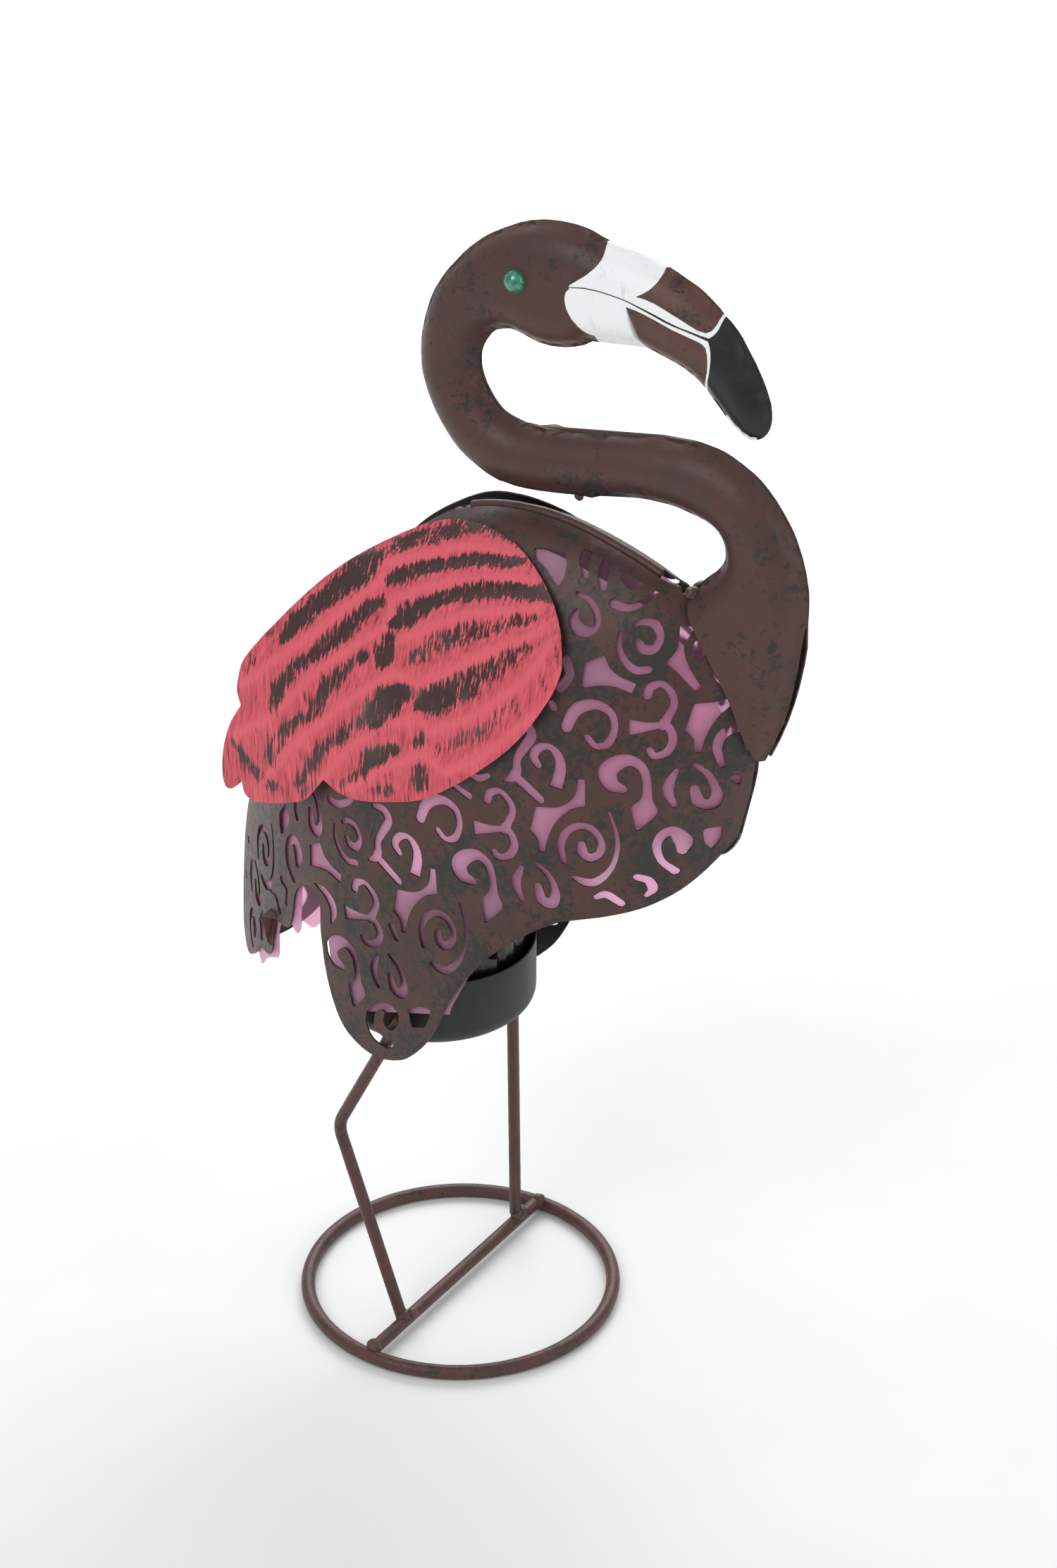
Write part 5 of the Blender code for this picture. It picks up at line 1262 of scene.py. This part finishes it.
def tree(name, **inputs):
    """An empty node tree for a modifier, with the named inputs."""
    group = bpy.data.node_groups.new(name, "GeometryNodeTree")
    group.interface.new_socket("Geometry", in_out="INPUT", socket_type="NodeSocketGeometry")
    sockets = {}
    for label, kind in inputs.items():
        socket = group.interface.new_socket(label.replace("_", " "), in_out="INPUT",
                                            socket_type="NodeSocket" + kind)
        sockets[label] = socket.identifier
    group.interface.new_socket("Geometry", in_out="OUTPUT", socket_type="NodeSocketGeometry")
    return group, sockets


def shape_with(group, sockets, obj, values):
    """Run a node tree on an object with its inputs set, and keep the plain mesh."""
    modifier = obj.modifiers.new(group.name, "NODES")
    modifier.node_group = group
    for label, value in values.items():
        modifier[sockets[label]] = value
    return as_plain(obj, 50.0)


def pushed_by(group, wave, middle, amount):
    """Nodes that push a surface in and out along its normal, by a noise about its middle."""
    new = group.nodes.new
    lower = new("ShaderNodeMath")
    lower.operation = "SUBTRACT"
    lower.inputs[1].default_value = middle
    size = new("ShaderNodeMath")
    size.operation = "MULTIPLY"
    push = new("ShaderNodeVectorMath")
    push.operation = "SCALE"
    normal = new("GeometryNodeInputNormal")
    move = new("GeometryNodeSetPosition")
    for a, b in (
            (wave.outputs["Fac"], lower.inputs[0]),
            (lower.outputs[0], size.inputs[0]),
            (amount, size.inputs[1]),
            (normal.outputs[0], push.inputs[0]),
            (size.outputs[0], push.inputs["Scale"]),
            (push.outputs["Vector"], move.inputs["Offset"])):
        group.links.new(a, b)
    return move


def rod_tree():
    """A rod swept along a path, a little uneven as drawn and painted steel is."""
    group, sockets = tree("rod_along_path", Radius="Float", Step="Float", Unevenness="Float",
                          Paint="Material")
    new = group.nodes.new
    start, end = new("NodeGroupInput"), new("NodeGroupOutput")
    line = new("GeometryNodeMeshToCurve")
    even = new("GeometryNodeResampleCurve")
    even.mode = "LENGTH"
    ring = new("GeometryNodeCurvePrimitiveCircle")
    ring.inputs["Resolution"].default_value = 20
    sweep = new("GeometryNodeCurveToMesh")
    sweep.inputs["Fill Caps"].default_value = True
    wave = new("ShaderNodeTexNoise")
    wave.inputs["Scale"].default_value = 160.0
    move = pushed_by(group, wave, 0.62, start.outputs["Unevenness"])
    whole = new("GeometryNodeRealizeInstances")
    paint = new("GeometryNodeSetMaterial")
    for a, b in (
            (start.outputs["Geometry"], line.inputs["Mesh"]),
            (line.outputs["Curve"], even.inputs["Curve"]),
            (start.outputs["Step"], even.inputs["Length"]),
            (start.outputs["Radius"], ring.inputs["Radius"]),
            (even.outputs["Curve"], sweep.inputs["Curve"]),
            (ring.outputs["Curve"], sweep.inputs["Profile Curve"]),
            (sweep.outputs["Mesh"], move.inputs["Geometry"]),
            (move.outputs["Geometry"], whole.inputs["Geometry"]),
            (whole.outputs["Geometry"], paint.inputs["Geometry"]),
            (start.outputs["Paint"], paint.inputs["Material"]),
            (paint.outputs["Geometry"], end.inputs["Geometry"])):
        group.links.new(a, b)
    return group, sockets


def bare_points(name, points, edges=()):
    """Points, and edges where there are any, for a node tree to dress."""
    mesh = bpy.data.meshes.new(name)
    mesh.from_pydata([tuple(p) for p in in_place(points)], list(edges), [])
    obj = bpy.data.objects.new(name, mesh)
    bpy.context.scene.collection.objects.link(obj)
    return obj


def path_piece(name, points, closed=False):
    """A bare line of points for a node tree to follow."""
    count = len(points)
    edges = [(i, i + 1) for i in range(count - 1)] + ([(count - 1, 0)] if closed else [])
    return bare_points(name, points, edges)


def rounded_bend(first, corner, last, reach, steps=10):
    """A line with its corner bent round, as rod is bent in a jig."""
    first, corner, last = (np.asarray(p, float) for p in (first, corner, last))
    start = corner + (first - corner) / np.linalg.norm(first - corner) * reach
    end = corner + (last - corner) / np.linalg.norm(last - corner) * reach
    bend = [(1 - t) ** 2 * start + 2 * t * (1 - t) * corner + t ** 2 * end
            for t in np.linspace(0, 1, steps)]
    return [first, *bend, last]


def make_rods():
    group, sockets = rod_tree()

    def rod(name, points, radius, node, slot_name, closed=False, uneven=ROD_UNEVENNESS):
        obj = path_piece(name, points, closed)
        shape_with(group, sockets, obj, {"Radius": radius * MM, "Step": ROD_STEP * MM,
                                         "Unevenness": uneven * MM, "Paint": rod_brown})
        return keep(obj, node, slot_name)

    turns = np.linspace(0, 2 * math.pi, 144, endpoint=False)
    circle = [(RING_DIAMETER / 2 * math.cos(t), -RING_OFFSET + RING_DIAMETER / 2 * math.sin(t),
               RING_ROD / 2) for t in turns]
    rod("ring_rod", circle, RING_ROD / 2, "ring_base", "base_ring_steel", True)
    reach = RING_DIAMETER / 2 - RING_ROD / 2 - BAR_SHORT_OF_RING
    rod("bar_rod", [(FOOT_X, -RING_OFFSET - reach, BAR_Z), (FOOT_X, -RING_OFFSET + reach, BAR_Z)],
        BAR_ROD / 2, "cross_bar", "rod_steel")
    stand = BAR_ROD / 2 + 0.1
    set_down = np.array([FOOT_X - LEG_SET_BACK, BAR_Z])
    shin = set_down - KNEE
    shin /= np.hypot(*shin)
    foot = set_down - shin * (stand - LEG_SET_BACK * shin[0])
    bent = rounded_bend((foot[0], LEG_RIGHT_Y, foot[1]), (KNEE[0], LEG_RIGHT_Y, KNEE[1]),
                        (HIP_TOP[0], LEG_RIGHT_Y, HIP_TOP[1]), 8.0)
    rod("leg_rod_right", bent, LEG_ROD / 2, "leg_right", "rod_steel")
    rod("leg_rod_left", [(set_down[0], LEG_LEFT_Y, BAR_Z + stand),
                         (STRAIGHT_LEG_TOP, LEG_LEFT_Y, CUP_FLOOR + CUP_HEIGHT / 2)],
        LEG_ROD / 2, "leg_left", "rod_steel")
    spine = [(x, 0.0, z) for x, z in seam_points(*SPINE_SEAM)]
    rod("spine_rod_skin", spine, SPINE_ROD / 2, "spine_rod", "rod_steel",
        uneven=SPINE_UNEVENNESS)


def bead_tree():
    """Weld beads: a lumpy ball at each point, as large as the point's own size."""
    group, sockets = tree("weld_beads", Lumps="Float", Seed="Int", Paint="Material")
    new = group.nodes.new
    start, end = new("NodeGroupInput"), new("NodeGroupOutput")
    ball = new("GeometryNodeMeshIcoSphere")
    ball.inputs["Radius"].default_value = 1.0
    ball.inputs["Subdivisions"].default_value = 5
    size = new("GeometryNodeInputNamedAttribute")
    size.data_type = "FLOAT_VECTOR"
    size.inputs["Name"].default_value = "size"
    place = new("GeometryNodeInstanceOnPoints")
    whole = new("GeometryNodeRealizeInstances")
    wave = new("ShaderNodeTexNoise")
    wave.noise_dimensions = "4D"
    wave.inputs["Scale"].default_value = 230.0
    wave.inputs["Detail"].default_value = 3.0
    move = pushed_by(group, wave, 0.5, start.outputs["Lumps"])
    paint = new("GeometryNodeSetMaterial")
    for a, b in (
            (start.outputs["Geometry"], place.inputs["Points"]),
            (ball.outputs["Mesh"], place.inputs["Instance"]),
            (size.outputs["Attribute"], place.inputs["Scale"]),
            (place.outputs["Instances"], whole.inputs["Geometry"]),
            (start.outputs["Seed"], wave.inputs["W"]),
            (whole.outputs["Geometry"], move.inputs["Geometry"]),
            (move.outputs["Geometry"], paint.inputs["Geometry"]),
            (start.outputs["Paint"], paint.inputs["Material"]),
            (paint.outputs["Geometry"], end.inputs["Geometry"])):
        group.links.new(a, b)
    return group, sockets


def make_welds():
    group, sockets = bead_tree()
    reach = RING_DIAMETER / 2 - 4.0
    beads = {
        "welds_base": [
            (FOOT_X - 0.5, -RING_OFFSET - reach, 8.6, 4.6, 4.4, 3.9),
            (FOOT_X + 0.5, -RING_OFFSET + reach, 8.6, 4.6, 4.6, 4.2),
            (FOOT_X - 1.0, LEG_RIGHT_Y, 10.6, 4.2, 4.8, 3.4),
            (FOOT_X + 2.0, LEG_RIGHT_Y + 5.0, 10.8, 3.4, 3.4, 3.0),
            (FOOT_X, LEG_LEFT_Y, 10.4, 4.4, 5.2, 3.6),
            (FOOT_X + 1.0, LEG_LEFT_Y + 3.0, 11.4, 3.4, 3.6, 3.6)],
        "welds_cup": [
            (-7.5, LEG_RIGHT_Y + 2.0, 203.5, 3.2, 2.6, 5.0),
            (FOOT_X - 1.5, LEG_LEFT_Y - 1.8, 206.0, 3.0, 2.4, 5.6),
            (-13.8, LEG_RIGHT_Y - 2.2, 190.6, 3.0, 2.0, 3.6)],
        "welds_back": [
            (10.3, 0.0, 496.6, 5.6, 5.0, 3.8), (133.5, 0.0, 479.4, 5.0, 4.6, 4.6),
            (3.0, 0.0, 495.0, 3.6, 4.4, 3.0)],
        "welds_neck": [
            (146.6, -4.0, 483.2, 4.2, 4.6, 3.6), (146.6, 4.0, 483.2, 4.2, 4.6, 3.6),
            (183.2, -6.6, 408.4, 3.4, 2.6, 2.6), (183.2, 6.6, 408.4, 3.4, 2.6, 2.6),
            (76.4, -0.6, 519.8, 2.6, 2.2, 2.6)],
    }
    for seed, (name, spots) in enumerate(beads.items()):
        obj = bare_points(name, [spot[:3] for spot in spots])
        sizes = np.array([s[3:] for s in spots], np.float32) * MM
        obj.data.attributes.new("size", "FLOAT_VECTOR", "POINT").data.foreach_set(
            "vector", sizes.ravel())
        shape_with(group, sockets, obj,
                   {"Lumps": WELD_LUMPS * MM, "Seed": seed + 3, "Paint": weld_brown})
        keep(obj, None, "rod_steel")


# the cup and what stands in it

def turned(name, profile, segments, materials):
    """A closed wall turned about the cup's axis from a profile of radius and height."""
    points, faces = [], []
    rows = []
    for r, h in profile:
        on_axis = r < 1e-6
        if on_axis:
            rows.append([len(points)])
            points.append((CUP_X, 0.0, CUP_FLOOR + h))
            continue
        rows.append(list(range(len(points), len(points) + segments)))
        for i in range(segments):
            turn = 2 * math.pi * i / segments
            points.append((CUP_X + r * math.cos(turn), r * math.sin(turn), CUP_FLOOR + h))
    for low, high in zip(rows, rows[1:]):
        for i in range(segments):
            j = (i + 1) % segments
            if len(low) == 1:
                faces.append((low[0], high[j], high[i]))
            elif len(high) == 1:
                faces.append((low[i], low[j], high[0]))
            else:
                faces.append((low[i], low[j], high[j], high[i]))
    return new_piece(name, in_place(points), faces, materials)


def make_cup():
    grey = cup_paint()
    arc = np.radians(np.linspace(-90, 0, 9))
    outer = CUP_RADIUS
    middle = outer - CUP_CORNER
    bend = CUP_CORNER - CUP_WALL
    outside = [(middle + CUP_CORNER * math.cos(a), CUP_CORNER + CUP_CORNER * math.sin(a))
               for a in arc]
    inside = [(middle + bend * math.cos(a), CUP_CORNER + bend * math.sin(a)) for a in arc]
    bead = [(outer - CUP_WALL / 2 + CUP_WALL / 2 * math.cos(a),
             CUP_HEIGHT - CUP_WALL / 2 + CUP_WALL / 2 * math.sin(a))
            for a in np.radians(np.linspace(0, 180, 7))]
    profile = [(0, 0), (middle * 0.5, 0), *outside, *bead, *inside[::-1],
               (middle * 0.5, CUP_WALL), (0, CUP_WALL)]
    obj = turned("cup_skin", profile, 128, [grey])
    keep(as_plain(obj), "cup", "cup_steel")


def make_cup_lining():
    film = black_film()
    around, levels = 320, 26
    wall = CUP_RADIUS - CUP_WALL - 0.7
    rng = np.random.default_rng(11)
    waves = [(k, rng.uniform(0, 2 * math.pi), rng.uniform(0.5, 1.0)) for k in
             (3, 5, 8, 11, 14, 19, 23, 31)]
    turns = np.linspace(0, 2 * math.pi, around, endpoint=False)
    points, faces = [], []
    for level in range(levels + 1):
        t = level / levels
        height = CUP_WALL + 0.8 + t * (CUP_HEIGHT + 6.0)
        for turn in turns:
            fold = sum(a * abs(math.sin(k * turn / 2 + p + 0.9 * t * math.sin(3 * turn + p)))
                       for k, p, a in waves) / 5.2
            crisp = math.sin(17 * turn + 5 * t + 2 * math.sin(7 * turn)) * 0.35
            depth = (0.2 + 8.0 * t ** 1.3) * fold + 1.2 * crisp * t
            corner = max(0.0, CUP_CORNER - height)
            radius = wall - max(depth, 0.0) - corner ** 2 / (2 * CUP_CORNER) * 1.4
            lift = t ** 3 * (2.4 * math.sin(4 * turn + 1.0) + 1.6 * math.sin(9 * turn)
                             + 1.2 * math.sin(15 * turn + 2.0))
            points.append((CUP_X + radius * math.cos(turn), radius * math.sin(turn),
                           CUP_FLOOR + height + lift))
    for level in range(levels):
        for i in range(around):
            j = (i + 1) % around
            low, high = level * around, (level + 1) * around
            faces.append((low + i, low + j, high + j, high + i))
    obj = new_piece("cup_film", in_place(points), faces, [film])
    wall_made = obj.modifiers.new("thickness", "SOLIDIFY")
    wall_made.thickness = CUP_FILM * MM
    wall_made.offset = 0.0
    keep(as_plain(obj, 60.0), "cup_lining", "black_film")


# the studio

def make_floor():
    paint = Finish("studio_floor")
    paint.colour(paint.ramp(paint.noise(3.0), (0.4, (0.92, 0.935, 0.92)),
                            (0.6, (0.95, 0.965, 0.95))))
    paint.set(Roughness=0.9)
    size = 6.0
    mesh = bpy.data.meshes.new("studio_floor")
    mesh.from_pydata([(-size, -size, 0), (size, -size, 0), (size, size, 0), (-size, size, 0)], [],
                     [(0, 1, 2, 3)])
    mesh.materials.append(paint.material)
    obj = bpy.data.objects.new("studio_floor", mesh)
    bpy.context.scene.collection.objects.link(obj)


def lamp(name, place, aim, size, power):
    """A square soft light turned towards a point."""
    data = bpy.data.lights.new(name, "AREA")
    data.size = size
    data.energy = power
    obj = bpy.data.objects.new(name, data)
    obj.location = place
    obj.rotation_euler = (Vector(aim) - Vector(place)).to_track_quat("-Z", "Y").to_euler()
    bpy.context.scene.collection.objects.link(obj)


VIEW_TURN = math.radians(32.6)
VIEW_TILT = math.radians(26.68)
FOCAL_LENGTH = 4200.0
PICTURE_HEIGHT = 2225.0
SENSOR = 36.0
# the camera's place from the ring's centre, in metres: right, back and up
CAMERA_RIGHT = 0.0407
CAMERA_BACK = -1.4571
CAMERA_UP = 1.0681


def make_studio():
    make_floor()
    world = bpy.data.worlds.new("studio")
    world.use_nodes = True
    sky = world.node_tree.nodes["Background"]
    sky.inputs["Color"].default_value = (0.97, 0.98, 1.0, 1.0)
    sky.inputs["Strength"].default_value = 0.50
    bpy.context.scene.world = world
    aim = (BIRD_X, BIRD_Y, 0.36)
    side = Vector((math.cos(VIEW_TURN), math.sin(VIEW_TURN), 0.0))
    away = Vector((-math.sin(VIEW_TURN), math.cos(VIEW_TURN), 0.0))

    def at(right, back, up):
        return Vector(aim) + side * right + away * back + Vector((0, 0, up))

    lamp("key", at(-1.5, -1.7, 1.9), aim, 1.5, 23.0)
    lamp("fill", at(1.9, -1.3, 0.9), aim, 1.6, 9.0)
    lamp("back", at(0.3, 1.8, 1.3), aim, 1.6, 18.0)
    lamp("wash", at(0.2, 3.2, 2.6), at(0.2, 4.0, -0.36), 4.0, 100.0)
    camera = bpy.data.cameras.new("camera")
    camera.sensor_width = SENSOR
    camera.lens = FOCAL_LENGTH / PICTURE_HEIGHT * SENSOR
    camera.clip_start = 0.05
    obj = bpy.data.objects.new("camera", camera)
    ring = Vector(((ring_low[0] + ring_high[0]) / 2, (ring_low[1] + ring_high[1]) / 2, 0.0))
    obj.location = ring + side * CAMERA_RIGHT + away * CAMERA_BACK + Vector((0, 0, CAMERA_UP))
    obj.rotation_euler = (math.pi / 2 - VIEW_TILT, 0.0, VIEW_TURN)
    bpy.context.scene.collection.objects.link(obj)
    bpy.context.scene.camera = obj


make_studio()
bpy.context.scene.view_settings.view_transform = "Standard"
make_rods()
make_welds()
make_cup()
make_cup_lining()
make_body_panels()
make_films()
make_wings()
make_neck()
make_eyes()
